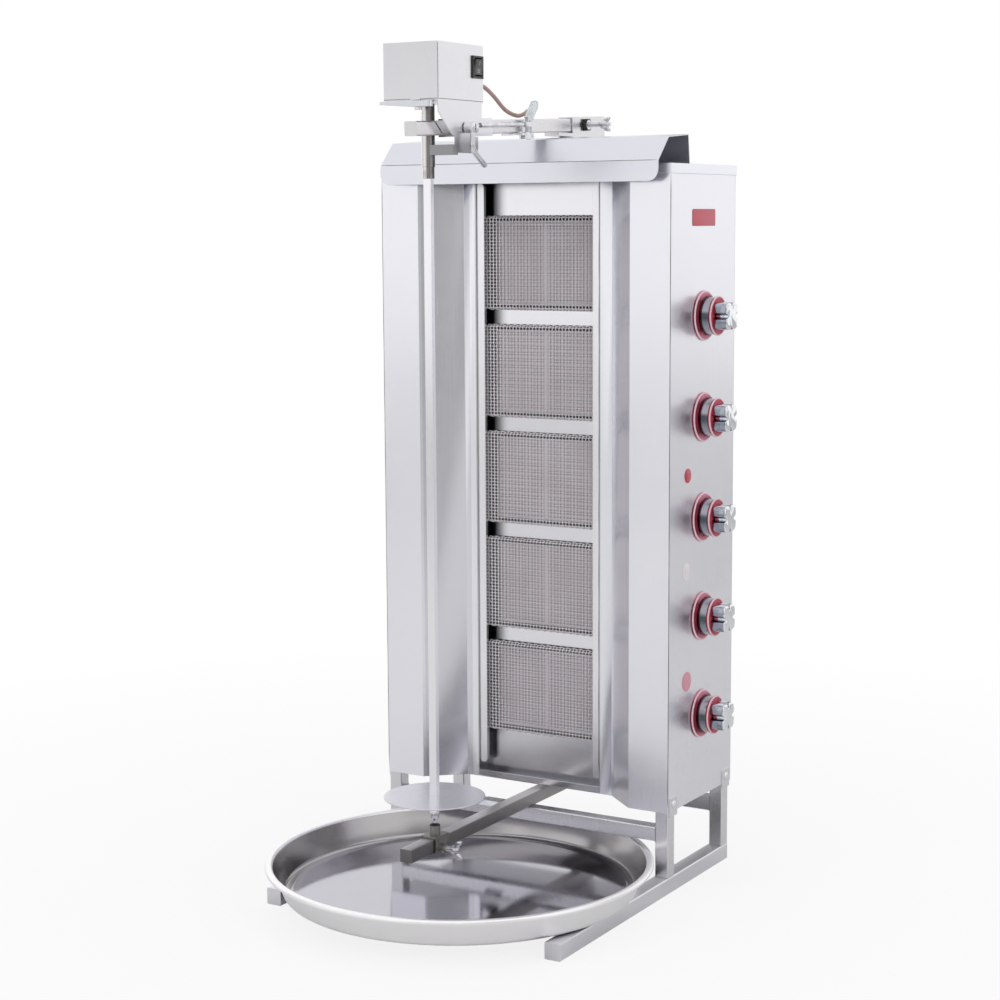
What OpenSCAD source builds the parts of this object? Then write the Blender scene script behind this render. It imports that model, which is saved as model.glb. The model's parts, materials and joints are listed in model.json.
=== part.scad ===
// Gas doner kebab grill: five ceramic burners in a tall folded body on a tube stand,
// a motor-driven spit held between two arms in front of them, and a round drip pan.
// X runs to the right, Y from the front to the back, Z up from the floor.
// Y = 0 is the front face of the body, X = 0 its middle.

/* [Body] */
// Width of the body across the side panels
body_w = 500; // [480:1:540]
// Depth of the body from the front face to the back panel
body_d = 224; // [216:1:260]
// Height of the body above its underside
body_h = 961; // [940:1:1000]
// Height of the underside above the floor
underside_z = 126; // [120:1:150]
// Thickness of the sheet metal
sheet = 1.5; // [1:0.1:2]
// Width of each flat front strip beside the wings
front_strip_w = 66; // [56:1:74]
// How far the sloping wings run back
wing_depth = 48; // [40:1:54]
// Half width of the front opening between the wings
opening_half_w = 110; // [106:1:114]
// Width of the flat edge beside the opening
opening_edge_w = 20; // [16:1:24]
// Depth of the lip round the top cap
cap_lip = 13; // [8:1:20]

/* [Hood] */
// How far the hood hangs out in front of the body
hood_front = 19; // [14:1:26]
// How much narrower the hood is than the body, each side
hood_inset = 11; // [6:1:20]
// Height of the hood's front board
hood_board_h = 30; // [24:1:38]
// Depth of the hood's sloping part
hood_slope_d = 34; // [28:1:40]
// Rise of the hood above the top cap at its ridge
hood_rise = 38.5; // [34:0.5:42]
// Distance from the ridge to the hood's back edge
hood_top_d = 66; // [56:1:70]
// Corner radius of the hood's front board
hood_corner_r = 17; // [8:1:22]

/* [Burners] */
// Number of burners
burner_count = 5; // [3:1:5]
// Distance of the top burner's middle below the top cap
burner_top_gap = 144.5; // [140:0.5:150]
// Height of the lowest burner's middle above the body's underside
burner_low_gap = 148.5; // [144:0.5:156]
// Width of one ceramic plaque
plaque_w = 92; // [80:1:94]
// How much lower a ceramic plaque is than its mesh tray
plaque_less = 15; // [13:1:22]
// Thickness of one ceramic plaque
plaque_t = 13; // [10:1:14]
// Depth of a burner's metal box
burner_box_d = 56; // [50:1:64]
// Width of a mesh tray
tray_w = 200; // [198:1:206]
// Gap between one mesh tray and the next
tray_space = 20; // [16:1:26]
// Depth of a mesh tray
tray_d = 12; // [8:1:14]
// Width of the rails that hold the mesh trays
mesh_rail_w = 13; // [10:1:14]

/* [Stand] */
// Width and height of the skid tubes
skid_w = 25; // [22:1:28]
// How far the skids reach in front of the body
skid_front = 330; // [310:1:360]
// Distance of the skids' back ends from the front face
skid_back = 215; // [205:1:222]
// Width of the posts and the cross rails
post_w = 22; // [20:1:24]
// Wall of the tubes
tube_wall = 1.5; // [1:0.1:2]
// Corner radius of the tubes
tube_r = 2; // [1:0.5:3]

/* [Arms and spit] */
// Width of the square arms
arm_w = 20; // [18:1:21]
// How far the spit's axis stands in front of the body
spit_y = 255; // [240:1:270]
// How far the lower arm reaches in front of the body
lower_arm_front = 332; // [325:1:345]
// How far the upper arm stands to the right of the spit
arm_offset = 20; // [20:0.5:22]
// Upward slope of the upper arm towards the back, in degrees
arm_tilt = 2.6; // [1:0.1:3]
// Height of the upper arm's middle above the cap, at the spit
arm_rise = 46.5; // [44:0.5:50]
// Length of the upper arm in front of the spit
arm_nose = 75; // [60:1:80]
// Length of the upper arm behind the spit
arm_tail = 478; // [455:1:490]
// Width of the spit bar
bar_w = 12; // [10:0.5:14]
// Thickness of the spit bar
bar_t = 8; // [6:0.5:9]
// Radius of the meat disc
disc_r = 73.5; // [60:0.5:90]
// Height of the meat disc above the floor
disc_z = 180; // [165:1:220]
// Thickness of the meat disc
disc_t = 2; // [1.5:0.5:4]
// Radius of the drive shaft
shaft_r = 9.5; // [8:0.1:9.5]

/* [Motor head] */
// Width of the motor housing
head_w = 89; // [86:1:100]
// Depth of the motor housing
head_d = 118; // [112:1:130]
// Height of the motor housing
head_h = 77; // [70:1:90]
// How far the housing reaches in front of the spit
head_front = 43; // [40:1:48]
// Height of the housing's floor above the top cap
head_rise = 84.5; // [82:0.5:92]

/* [Drip pan] */
// Outer radius of the pan's rim
pan_r = 288.8; // [270:0.2:292]
// Height of the pan
pan_h = 47.5; // [40:0.5:50]
// Width of the turned rim
pan_rim_w = 9.8; // [6:0.2:12]
// Depth of the turned rim
pan_rim_h = 10.5; // [6:0.5:14]
// Clearance between the pan's rim and the front posts
pan_post_gap = 7.7; // [5:0.1:12]

/* [Knobs] */
// Distance of the top knob's middle below the top cap
knob_top_gap = 222; // [214:1:232]
// Height of the lowest knob's middle above the body's underside
knob_low_gap = 131; // [124:1:140]
// Distance of the knobs behind the front face
knob_y = 114; // [108:1:118]
// Radius of the dial plates
dial_r = 37.5; // [34:0.5:42]
// Height of the dial plates
dial_h = 6.5; // [5:0.5:8]
// Radius of the knobs' bodies
knob_r = 28; // [24:0.5:28]
// Radius of the ring round each knob
ring_r = 29.5; // [28.5:0.5:31]
// Distance from the side panel to the ring's back
ring_x = 21; // [16:1:24]
// Width of the knobs' grips across their flat sides
grip_w = 41; // [36:1:41]
// Length of the knobs' grips
grip_l = 22; // [18:1:26]
// How far a knob can be pushed in
push = 3; // [2:0.5:3.5]

/* [Cord] */
// Diameter of the mains cord
cord_d = 6; // [6:0.5:7]
// Turns of the stored coil
coil_turns = 5; // [3:1:5]

/* [Hidden] */
$fn = 48;

// Clearance of a piece that slides in or along another
slide_gap = 0.4;
// Radial clearance of a turning pin in its bore
run_gap = 0.08;
// Gap that lets one round piece lie beside another
seat_gap = 0.3;

half_w = body_w / 2;
side_in = half_w - sheet;
cap_z = underside_z + body_h;
cap_top = cap_z + sheet;
wing_x = half_w - front_strip_w;
edge_x = opening_half_w + opening_edge_w;
face_y = wing_depth + tray_d + 10;
box_y = face_y + sheet;
back_y = body_d - sheet;

rail_z = underside_z - post_w - 24;
rail_top = rail_z + post_w;
post_front = 2;
post_rear = skid_back - post_w;

spit_pos = -spit_y;
arm_z = cap_top + arm_rise;
slope = tan(arm_tilt);
head_z = cap_top + head_rise;
plate_t = 2;
head_x = head_w / 2;
head_y0 = spit_pos - head_front;
head_y1 = head_y0 + head_d;
foot_z = rail_top;
foot_top = foot_z + arm_w;

// Burners and knobs share the body's height in as many rows as a full set has
full_rows = 5;
burner_pitch = (body_h - burner_top_gap - burner_low_gap) / (full_rows - 1);
tray_h = burner_pitch - tray_space;
plaque_h = tray_h - plaque_less;
knob_pitch = (body_h - knob_top_gap - knob_low_gap) / (full_rows - 1);
function burner_z(i) = cap_z - burner_top_gap - burner_pitch * i;
function knob_z(i) = cap_z - knob_top_gap - knob_pitch * i;

// The pan lies as far back as the front posts let its rim go
post_in_x = half_w - post_w;
pan_y = sqrt(pow(pan_r + pan_post_gap, 2) - pow(post_in_x, 2)) - post_front;

// Points of an outline moved sideways by t, for folding a sheet of thickness t along a path
function turned(v) = [-v[1], v[0]] / norm(v);
function fold_side(p, i) =
    let (a = i == 0 ? turned(p[1] - p[0]) : turned(p[i] - p[i - 1]),
         b = i == len(p) - 1 ? a : turned(p[i + 1] - p[i]))
    (a + b) / (1 + a * b);
function moved(p, t) = [for (i = [0 : len(p) - 1]) p[i] + t * fold_side(p, i)];
function backwards(p) = [for (i = [len(p) - 1 : -1 : 0]) p[i]];
function arc(c, r, a0, a1, n) = [for (k = [0 : n]) c + r * [cos(a0 + (a1 - a0) * k / n),
                                                          sin(a0 + (a1 - a0) * k / n)]];

// A sheet of thickness t folded along the path p
module folded(p, t) {
    polygon(concat(p, backwards(moved(p, t))));
}

// A rectangle with round corners, its lowest corner at the origin
module round_rect(w, h, r) {
    translate([r, 0]) square([w - 2 * r, h]);
    translate([0, r]) square([w, h - 2 * r]);
    for (x = [r, w - r], y = [r, h - r]) translate([x, y]) circle(r);
}

// A square tube of length l along Y, closed at its front end
module tube_y(w, l, wall) {
    difference() {
        translate([0, l, 0]) rotate([90, 0, 0]) linear_extrude(l) round_rect(w, w, tube_r);
        translate([wall, wall, wall]) cube([w - 2 * wall, l, w - 2 * wall]);
    }
}

// A rod of radius r along X, Y or Z from a point
module rod_x(p, l, r) {
    translate(p) rotate([0, 90, 0]) cylinder(h = l, r = r);
}
module rod_y(p, l, r) {
    translate(p) rotate([-90, 0, 0]) cylinder(h = l, r = r);
}
module rod_z(p, l, r) {
    translate(p) cylinder(h = l, r = r);
}

// Two skids under everything, open at the back
module skid_left() {
    color("silver") translate([-half_w, -skid_front, 0]) tube_y(skid_w, skid_front + skid_back, tube_wall);
}
module skid_right() {
    color("silver") translate([half_w - skid_w, -skid_front, 0])
        tube_y(skid_w, skid_front + skid_back, tube_wall);
}

// Four posts between skids and body, each with a fixing tab on the body's side
tab_t = 1.5;
tab_w = 26;
tab_low = 7;
tab_up = 22;
tab_ys = [post_front + 2, post_rear - 2];
bolt_up = 11;
module frame_posts() {
    color("silver") for (m = [0, 1]) mirror([m, 0, 0]) {
        for (y = [post_front, post_rear]) translate([half_w - post_w, y, skid_w]) difference() {
            linear_extrude(underside_z - skid_w) round_rect(post_w, post_w, tube_r);
            translate([tube_wall, tube_wall, tube_wall])
                cube([post_w - 2 * tube_wall, post_w - 2 * tube_wall, underside_z]);
        }
        for (y = tab_ys) difference() {
            translate([half_w, y, underside_z - tab_low]) cube([tab_t, tab_w, tab_low + tab_up]);
            rod_x([half_w - 1, y + tab_w / 2, underside_z + bolt_up], tab_t + 2, bolt_r + 0.4);
        }
    }
}

// Two cross rails between the posts, welded at their ends
module cross_rails() {
    rail_l = body_w - 2 * post_w;
    color("silver") for (y = [post_front, post_rear]) translate([-rail_l / 2, y, rail_z]) difference() {
        translate([0, 0, 0]) rotate([90, 0, 90]) linear_extrude(rail_l) round_rect(post_w, post_w, tube_r);
        translate([-1, tube_wall, tube_wall])
            cube([rail_l + 2, post_w - 2 * tube_wall, post_w - 2 * tube_wall]);
    }
}

// Round-headed bolts through the tabs and the side panels
bolt_r = 3;
bolt_head_r = 6;
bolt_head_h = 3.5;
module body_bolts() {
    color("gainsboro") for (m = [0, 1]) mirror([m, 0, 0]) for (y = tab_ys) {
        translate([half_w + tab_t, y + tab_w / 2, underside_z + bolt_up]) rotate([0, 90, 0])
            rotate_extrude() polygon([[0, 0], [bolt_head_r, 0], [bolt_head_r - 0.4, bolt_head_h * 0.4],
                [bolt_head_r * 0.75, bolt_head_h * 0.75], [bolt_head_r * 0.4, bolt_head_h], [0, bolt_head_h]]);
        rod_x([side_in - 8, y + tab_w / 2, underside_z + bolt_up], sheet + 8 + tab_t, bolt_r);
    }
}

// Side panels; the right one has a hole for each valve stem
module side_blank() {
    difference() {
        translate([side_in, sheet, underside_z]) cube([sheet, body_d - 2 * sheet, body_h]);
        for (y = tab_ys) rod_x([side_in - 1, y + tab_w / 2, underside_z + bolt_up], sheet + 2, bolt_r + 0.4);
    }
}
module side_panel_left() {
    color("gainsboro") mirror([1, 0, 0]) side_blank();
}
stem_hole_r = 5.5;
module side_panel_right() {
    color("gainsboro") difference() {
        side_blank();
        for (i = [0 : burner_count - 1]) rod_x([side_in - 1, knob_y, knob_z(i)], sheet + 2, stem_hole_r);
    }
}

// Back panel with rows of air slots and a hole for the gas inlet
inlet_inset = 55;
inlet_x = half_w - inlet_inset;
inlet_z = underside_z + 64;
thread_r = 10.48;
thread_l = 18;
collar_r = 13.5;
collar_l = 8;
module back_panel() {
    slot_l = 90;
    slot_h = 6;
    color("silver") difference() {
        translate([-half_w, back_y, underside_z]) cube([body_w, sheet, body_h]);
        for (x = [-150, -30], k = [0 : 5])
            translate([x, back_y - 1, cap_z - 120 - 20 * k]) cube([slot_l, sheet + 2, slot_h]);
        rod_y([inlet_x, back_y - 1, inlet_z], sheet + 2, thread_r);
    }
}

// Path of one wing seen from above, from the side panel in to the burner channel
wing_path = [[half_w, 0], [wing_x, 0], [edge_x, wing_depth], [opening_half_w, wing_depth],
             [opening_half_w, face_y + sheet]];
module wing() {
    translate([0, 0, underside_z]) linear_extrude(body_h) folded(wing_path, -sheet);
}
module wing_right() {
    color("lightgray") wing();
}
module wing_left() {
    color("lightgray") mirror([1, 0, 0]) wing();
}

// Floor of the body, inside the folded walls
module bottom_plate() {
    inner = moved(wing_path, -sheet);
    color("silver") translate([0, 0, underside_z]) linear_extrude(sheet) for (m = [0, 1]) mirror([m, 0])
        difference() {
            polygon([[0, box_y + sheet], [inner[4][0], box_y + sheet], [inner[4][0], inner[4][1]],
                     [inner[3][0], inner[3][1]], inner[2], inner[1], [side_in, sheet],
                     [side_in, back_y], [0, back_y]]);
        }
}

// Top cap with a lip down all round
module top_cap() {
    color("silver") difference() {
        translate([-half_w - sheet, -sheet, cap_z - cap_lip])
            cube([body_w + 2 * sheet, body_d + 2 * sheet, cap_lip + sheet]);
        translate([-half_w, 0, cap_z - cap_lip - 1]) cube([body_w, body_d, cap_lip + 1]);
    }
}

// Recessed channel between the wings: side walls, a face plate with a window for each burner, a lip
module burner_channel() {
    wall_x = opening_half_w - sheet;
    window_w = 2 * plaque_w - 2;
    window_h = plaque_h - 2;
    floor_z = underside_z + sheet;
    color("whitesmoke") {
        difference() {
            translate([-opening_half_w, face_y, floor_z]) cube([2 * opening_half_w, sheet, body_h - 2 * sheet]);
            for (i = [0 : burner_count - 1])
                translate([-window_w / 2, face_y - 1, burner_z(i) - window_h / 2])
                    cube([window_w, sheet + 2, window_h]);
        }
        for (x = [-opening_half_w, wall_x])
            translate([x, wing_depth, floor_z]) cube([sheet, face_y - wing_depth, body_h - 2 * sheet]);
        translate([-wall_x, wing_depth, floor_z]) cube([2 * wall_x, sheet, 9]);
        translate([-wall_x, wing_depth, floor_z]) cube([2 * wall_x, face_y - wing_depth, sheet]);
    }
}

// Two rails with round ends that hold the mesh trays in
rail_low = 23;
rail_high = 22.5;
module mesh_rails() {
    rail_t = face_y - tray_d - seat_gap - wing_depth - 2 * sheet;
    color("white") for (m = [0, 1]) mirror([m, 0, 0])
        translate([opening_half_w - sheet - mesh_rail_w, wing_depth + 2 * sheet + rail_t,
                   underside_z + rail_low])
            rotate([90, 0, 0]) linear_extrude(rail_t)
                round_rect(mesh_rail_w, body_h - rail_low - rail_high, mesh_rail_w / 2 - 0.01);
}

// Folded hood over the front of the body, open at both ends
module hood() {
    half = half_w - hood_inset;
    board_top = cap_top + 4;
    ridge_y = hood_slope_d - hood_front;
    ridge_z = cap_top + hood_rise;
    back = ridge_y + hood_top_d;
    path = [[-hood_front, board_top - hood_board_h], [-hood_front, board_top], [ridge_y, ridge_z],
            [back, ridge_z + 5], [back + 5, cap_top + sheet], [back + 17, cap_top + sheet]];
    color("silver") difference() {
        translate([-half, 0, 0]) rotate([90, 0, 90]) linear_extrude(2 * half) folded(path, -sheet);
        for (m = [0, 1]) mirror([m, 0, 0])
            translate([half - hood_corner_r, -hood_front - 1, board_top - hood_board_h - 1]) difference() {
                cube([hood_corner_r + 1, sheet + 2, hood_corner_r + 1]);
                rod_y([0, -1, hood_corner_r + 1], sheet + 4, hood_corner_r);
            }
    }
}

// Burner boxes behind the face plate, each with a mixing tube towards the valves
mix_r = 13;
mix_inset = 105;
mix_l = half_w - plaque_w - mix_inset;
module burner_housings() {
    out_x = plaque_w + 5;
    out_z = plaque_h / 2 + 5.5;
    color("slategray") for (i = [0 : burner_count - 1]) translate([0, box_y, burner_z(i)]) difference() {
        union() {
            translate([-out_x, 0, -out_z]) cube([2 * out_x, burner_box_d, 2 * out_z]);
            rod_x([out_x, knob_y - box_y, 0], mix_l, mix_r);
        }
        translate([-plaque_w - 1, -1, -plaque_h / 2 - 0.3]) cube([2 * plaque_w + 2, 5 + plaque_t, plaque_h + 0.6]);
        translate([-plaque_w + 4, 0, -plaque_h / 2 + 5])
            cube([2 * plaque_w - 8, burner_box_d - 2, plaque_h - 10]);
        rod_x([plaque_w - 6, knob_y - box_y, 0], mix_l + 12, mix_r - 3);
    }
}

// Two ceramic plaques in each burner box, seated on its inner step
module burner_plaques() {
    color("tan") for (i = [0 : burner_count - 1], x = [-plaque_w - 0.5, 0.5])
        translate([x, box_y + 4, burner_z(i) - plaque_h / 2]) cube([plaque_w, plaque_t, plaque_h]);
}

// Wire mesh trays in front of the plaques, with their gaps at a coarse pitch
tray_cols = 10;
tray_rows = 6;
module mesh_trays() {
    frame = 7;
    wire = 3;
    gap_w = (tray_w - 2 * frame - (tray_cols - 1) * wire) / tray_cols;
    gap_h = (tray_h - 2 * frame - (tray_rows - 1) * wire) / tray_rows;
    color("dimgray") for (i = [0 : burner_count - 1])
        translate([-tray_w / 2, face_y, burner_z(i) - tray_h / 2]) {
            rotate([90, 0, 0]) translate([0, 0, tray_d - 2]) linear_extrude(2) difference() {
                square([tray_w, tray_h]);
                for (c = [0 : tray_cols - 1], r = [0 : tray_rows - 1])
                    translate([frame + c * (gap_w + wire), frame + r * (gap_h + wire)]) square([gap_w, gap_h]);
            }
            difference() {
                translate([0, -tray_d + 2, 0]) cube([tray_w, tray_d - 2, tray_h]);
                translate([2, -tray_d, 2]) cube([tray_w - 4, tray_d + 1, tray_h - 4]);
            }
        }
}

// Gas pipe up the right side, its threaded inlet through the back panel
main_x = inlet_x;
main_y = 158;
main_r = 8;
module gas_manifold() {
    color("goldenrod") {
        rod_z([main_x, main_y, inlet_z], knob_z(0) + 30 - inlet_z, main_r);
        translate([main_x, main_y, inlet_z]) sphere(main_r + 2);
        rod_y([main_x, main_y, inlet_z], body_d - main_y + 1, main_r);
        rod_y([main_x, body_d, inlet_z], collar_l, collar_r);
        rod_y([main_x, body_d, inlet_z], collar_l + thread_l, thread_r);
    }
}

// Gas valves, each with a nose that is nutted to the side panel and a link to the gas pipe
valve_inset = 42.5;
valve_x = side_in - valve_inset;
valve_r = 12;
valve_l = 30;
stem_r = 4;
valve_bore = 8;
module gas_valves() {
    color("darkgoldenrod") for (i = [0 : burner_count - 1]) translate([0, knob_y, knob_z(i)]) difference() {
        union() {
            rod_x([valve_x, 0, 0], valve_l, valve_r);
            rod_x([valve_x, 0, 0], side_in - valve_x, 9);
            rod_y([valve_x + 6, 0, 0], 20, 6);
            translate([main_x - 6, main_y - knob_y - main_r - seat_gap - 8, -6])
                cube([valve_x + 12 - main_x + 6, 8, 12]);
            translate([valve_x, 0, -6]) cube([12, main_y - knob_y - main_r - seat_gap, 12]);
        }
        rod_x([valve_x + valve_bore, 0, 0], 60, stem_r + run_gap);
    }
}

// Feed pipes from the valves to the burners' mixing tubes: up in front of the valves, in, and back
feed_x = valve_x + 14;
feed_r = 4;
nut_r = 6;
nozzle_l = 9;
elbow_r = feed_r + 0.8;
module elbow(p) { rod_z([p[0], p[1], p[2] - elbow_r], 2 * elbow_r, elbow_r); }
module burner_pipes() {
    mouth_x = plaque_w + 5 + mix_l;
    turn_x = mouth_x + nozzle_l + 5;
    pipe_y = -valve_r - seat_gap / 3 - elbow_r;
    color("peru") for (i = [0 : burner_count - 1]) translate([0, knob_y, 0]) {
        low = min(burner_z(i), knob_z(i));
        rod_z([feed_x, pipe_y, low], max(abs(burner_z(i) - knob_z(i)), 1), feed_r);
        rod_y([feed_x, pipe_y - elbow_r, knob_z(i)], 2 * elbow_r, nut_r);
        elbow([feed_x, pipe_y, burner_z(i)]);
        rod_x([turn_x, pipe_y, burner_z(i)], feed_x - turn_x, feed_r);
        elbow([turn_x, pipe_y, burner_z(i)]);
        rod_y([turn_x, pipe_y, burner_z(i)], -pipe_y, feed_r);
        elbow([turn_x, 0, burner_z(i)]);
        rod_x([mouth_x, 0, burner_z(i)], turn_x - mouth_x, feed_r);
        rod_x([mouth_x, 0, burner_z(i)], nozzle_l, 9);
    }
}

// Thermocouple leads from the valves to the burner boxes, above or below the mixing tube
thermo_r = 1.5;
thermo_off = 8;
function thermo_up(i) =
    abs(burner_z(i) - knob_z(i) - thermo_off) < mix_r + 3 ? -thermo_off - 1 : thermo_off;
module thermocouples() {
    color("chocolate") for (i = [0 : burner_count - 1])
        rod_x([plaque_w + 5 + seat_gap / 2, knob_y + 5, knob_z(i) + thermo_up(i)],
              valve_x - plaque_w - 5 - seat_gap, thermo_r);
}

// Flared dial plates round the stems
module dial_plates() {
    hole_r = knob_r + 1.5;
    color("crimson") for (i = [0 : burner_count - 1]) translate([half_w, knob_y, knob_z(i)]) rotate([0, 90, 0])
        rotate_extrude() polygon([[hole_r, 0], [dial_r, 0], [dial_r, 1.5], [hole_r + 3, dial_h],
                                  [hole_r, dial_h]]);
}

// Valve stems and the knobs on them: body, ring and a grip with four lobes
knob_back = half_w + 1.2 + push;
ring_back = half_w + ring_x;
ring_t = 4;
grip_corner = 8;
notch_w = 7.5;
notch_d = 8;
bore_end = ring_back + ring_t + 10;
module stem(i) {
    tail = valve_x + valve_bore + push + 1;
    color("lightslategray") rod_x([tail, knob_y, knob_z(i)], bore_end - 1 - tail, stem_r);
}
module knob(i) {
    color("gainsboro") translate([0, knob_y, knob_z(i)]) difference() {
        union() {
            rod_x([knob_back, 0, 0], ring_back - knob_back + 1, knob_r);
            rod_x([ring_back, 0, 0], ring_t, ring_r);
            translate([ring_back + ring_t, 0, 0]) rotate([0, 90, 0]) linear_extrude(grip_l) difference() {
                translate([-grip_w / 2, -grip_w / 2]) round_rect(grip_w, grip_w, grip_corner);
                for (a = [0 : 90 : 270]) rotate(a) translate([grip_w / 2 - notch_d + notch_w / 2, 0]) {
                    circle(notch_w / 2);
                    translate([0, -notch_w / 2]) square([notch_d, notch_w]);
                }
            }
        }
        rod_x([knob_back - 1, 0, 0], bore_end - knob_back + 1, stem_r + run_gap);
    }
}
module stem_1() { stem(0); }
module stem_2() { stem(1); }
module stem_3() { stem(2); }
module stem_4() { stem(3); }
module stem_5() { stem(4); }
module knob_1() { knob(0); }
module knob_2() { knob(1); }
module knob_3() { knob(2); }
module knob_4() { knob(3); }
module knob_5() { knob(4); }

// Lower arm, welded across both rails under the body
module lower_arm() {
    color("rosybrown") translate([-arm_w / 2, -lower_arm_front, foot_z])
        tube_y(arm_w, lower_arm_front + skid_back, tube_wall);
}

// Folded clip on the front rail that keeps the pan's rim down
clip_x = -75;
clip_w = 31;
module pan_clip() {
    path = [[post_front + post_w - 4, rail_top], [post_front - 3, rail_top], [post_front - 12, rail_top - 5]];
    color("white") translate([clip_x, 0, 0]) rotate([90, 0, 90]) linear_extrude(clip_w) folded(path, -sheet);
}

// Round drip pan with a turned rim, lying on the skids
pan_t = 1.2;
pan_wall_r = pan_r - pan_rim_w;
pan_floor_r = pan_wall_r - 17;
module pan() {
    path = concat([[0, 0]], arc([pan_floor_r, 8], 8, -90, -12, 4),
                  [[pan_wall_r, pan_h - pan_t], [pan_r - pan_t, pan_h - pan_t],
                   [pan_r - pan_t, pan_h - pan_rim_h]]);
    color("silver") translate([0, -pan_y, skid_w]) rotate_extrude($fn = 96) folded(path, pan_t);
}

// Bracket on the top cap: a folded stand, a base plate and the sleeve that grips the upper arm
sleeve_wall = 2;
sleeve_l = 103;
sleeve_back = 462;
module on_arm() {
    translate([arm_offset, spit_pos, arm_z]) rotate([arm_tilt, 0, 0]) children();
}
bracket_bolt_s = 400;
module arm_bracket() {
    low = arm_w / 2 + slide_gap;
    base_z = arm_z + slope * (sleeve_back - sleeve_l) - low - sleeve_wall;
    front = spit_pos + sleeve_back - sleeve_l;
    left = -low - sleeve_wall;
    wide = 2 * low + 2 * sleeve_wall;
    color("lightgray") difference() {
        union() {
            on_arm() translate([left, sleeve_back - sleeve_l, -low - sleeve_wall])
                cube([wide, sleeve_l, 2 * low + 2 * sleeve_wall]);
            on_arm() rod_x([low + 1, bracket_bolt_s, 0], 7, 7.5);
            translate([arm_offset + left, front - 44, base_z - 5]) cube([wide, sleeve_l + 44, 5.3]);
            translate([arm_offset + left, 0, 0]) rotate([90, 0, 90]) linear_extrude(wide)
                polygon([[front, base_z], [front + sleeve_l, base_z],
                         [front + sleeve_l, base_z + slope * sleeve_l + 1]]);
            translate([arm_offset + left, front, cap_top]) difference() {
                cube([wide, sleeve_l, base_z - cap_top]);
                translate([sheet * 2, -1, -1]) cube([wide - 4 * sheet, sleeve_l + 2, base_z - cap_top - 4]);
            }
        }
        on_arm() translate([-low, sleeve_back - sleeve_l - 60, -low]) cube([2 * low, sleeve_l + 120, 2 * low]);
        on_arm() rod_x([0, bracket_bolt_s, 0], 60, 4 + run_gap);
    }
}

// Wing bolts: the long one locks the upper arm in its sleeve, the short one locks the spit's foot
module wing_screw(l, wing_at, half_span) {
    rod_x([0, 0, 0], l, 4);
    rod_x([wing_at, 0, 0], 9, 6.5);
    for (m = [0, 1]) mirror([0, 0, m]) translate([wing_at, -2, 0]) rotate([90, 0, 0]) mirror([0, 0, 1])
        linear_extrude(4) polygon([[1, 0], [8, 0], [18, half_span - 4], [17, half_span], [9, half_span - 1]]);
}
module bracket_wing_bolt() {
    color("silver") on_arm() translate([arm_w / 2 + seat_gap, bracket_bolt_s, 0]) wing_screw(46, 31, 11);
}

// Upper arm: a square tube that slides in the sleeve
module upper_arm() {
    color("gainsboro") on_arm() translate([-arm_w / 2, -arm_nose, -arm_w / 2])
        tube_y(arm_w, arm_nose + arm_tail, tube_wall);
}

// Carriage of the motor head: floor plate, one side plate, a steady block whose hollow end leans on the
// drive shaft, and the sleeve on the upper arm
clamp_s = 27;
nose_drop = 17;
deep_drop = 48;
deep_back = 50;
back_drop = 25;
deep_reach = 29;
steady_w = 14;
steady_drop = 75;
tail_drop = 72;
tail_l = 53;
tail_r = 8;
head_sleeve_s = 15;
head_sleeve_l = 105;
shaft_drop = 91;
rod_off = 18;
rod_up = 2.5;
rod_r = 3.2;
lever_pivot_x = 17;
lever_y = head_y0 - 7;
lever_r = 6.5;
pivot_r = 3;
module side_plate(x) {
    translate([x, 0, 0]) rotate([90, 0, 90]) linear_extrude(sheet) polygon([
        [head_y0, head_z - plate_t], [head_y0, head_z - nose_drop], [spit_pos - 8, head_z - deep_drop],
        [spit_pos + deep_reach, head_z - deep_back], [head_y1 - 4, head_z - back_drop],
        [head_y1 - 4, head_z - plate_t]]);
}
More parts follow.
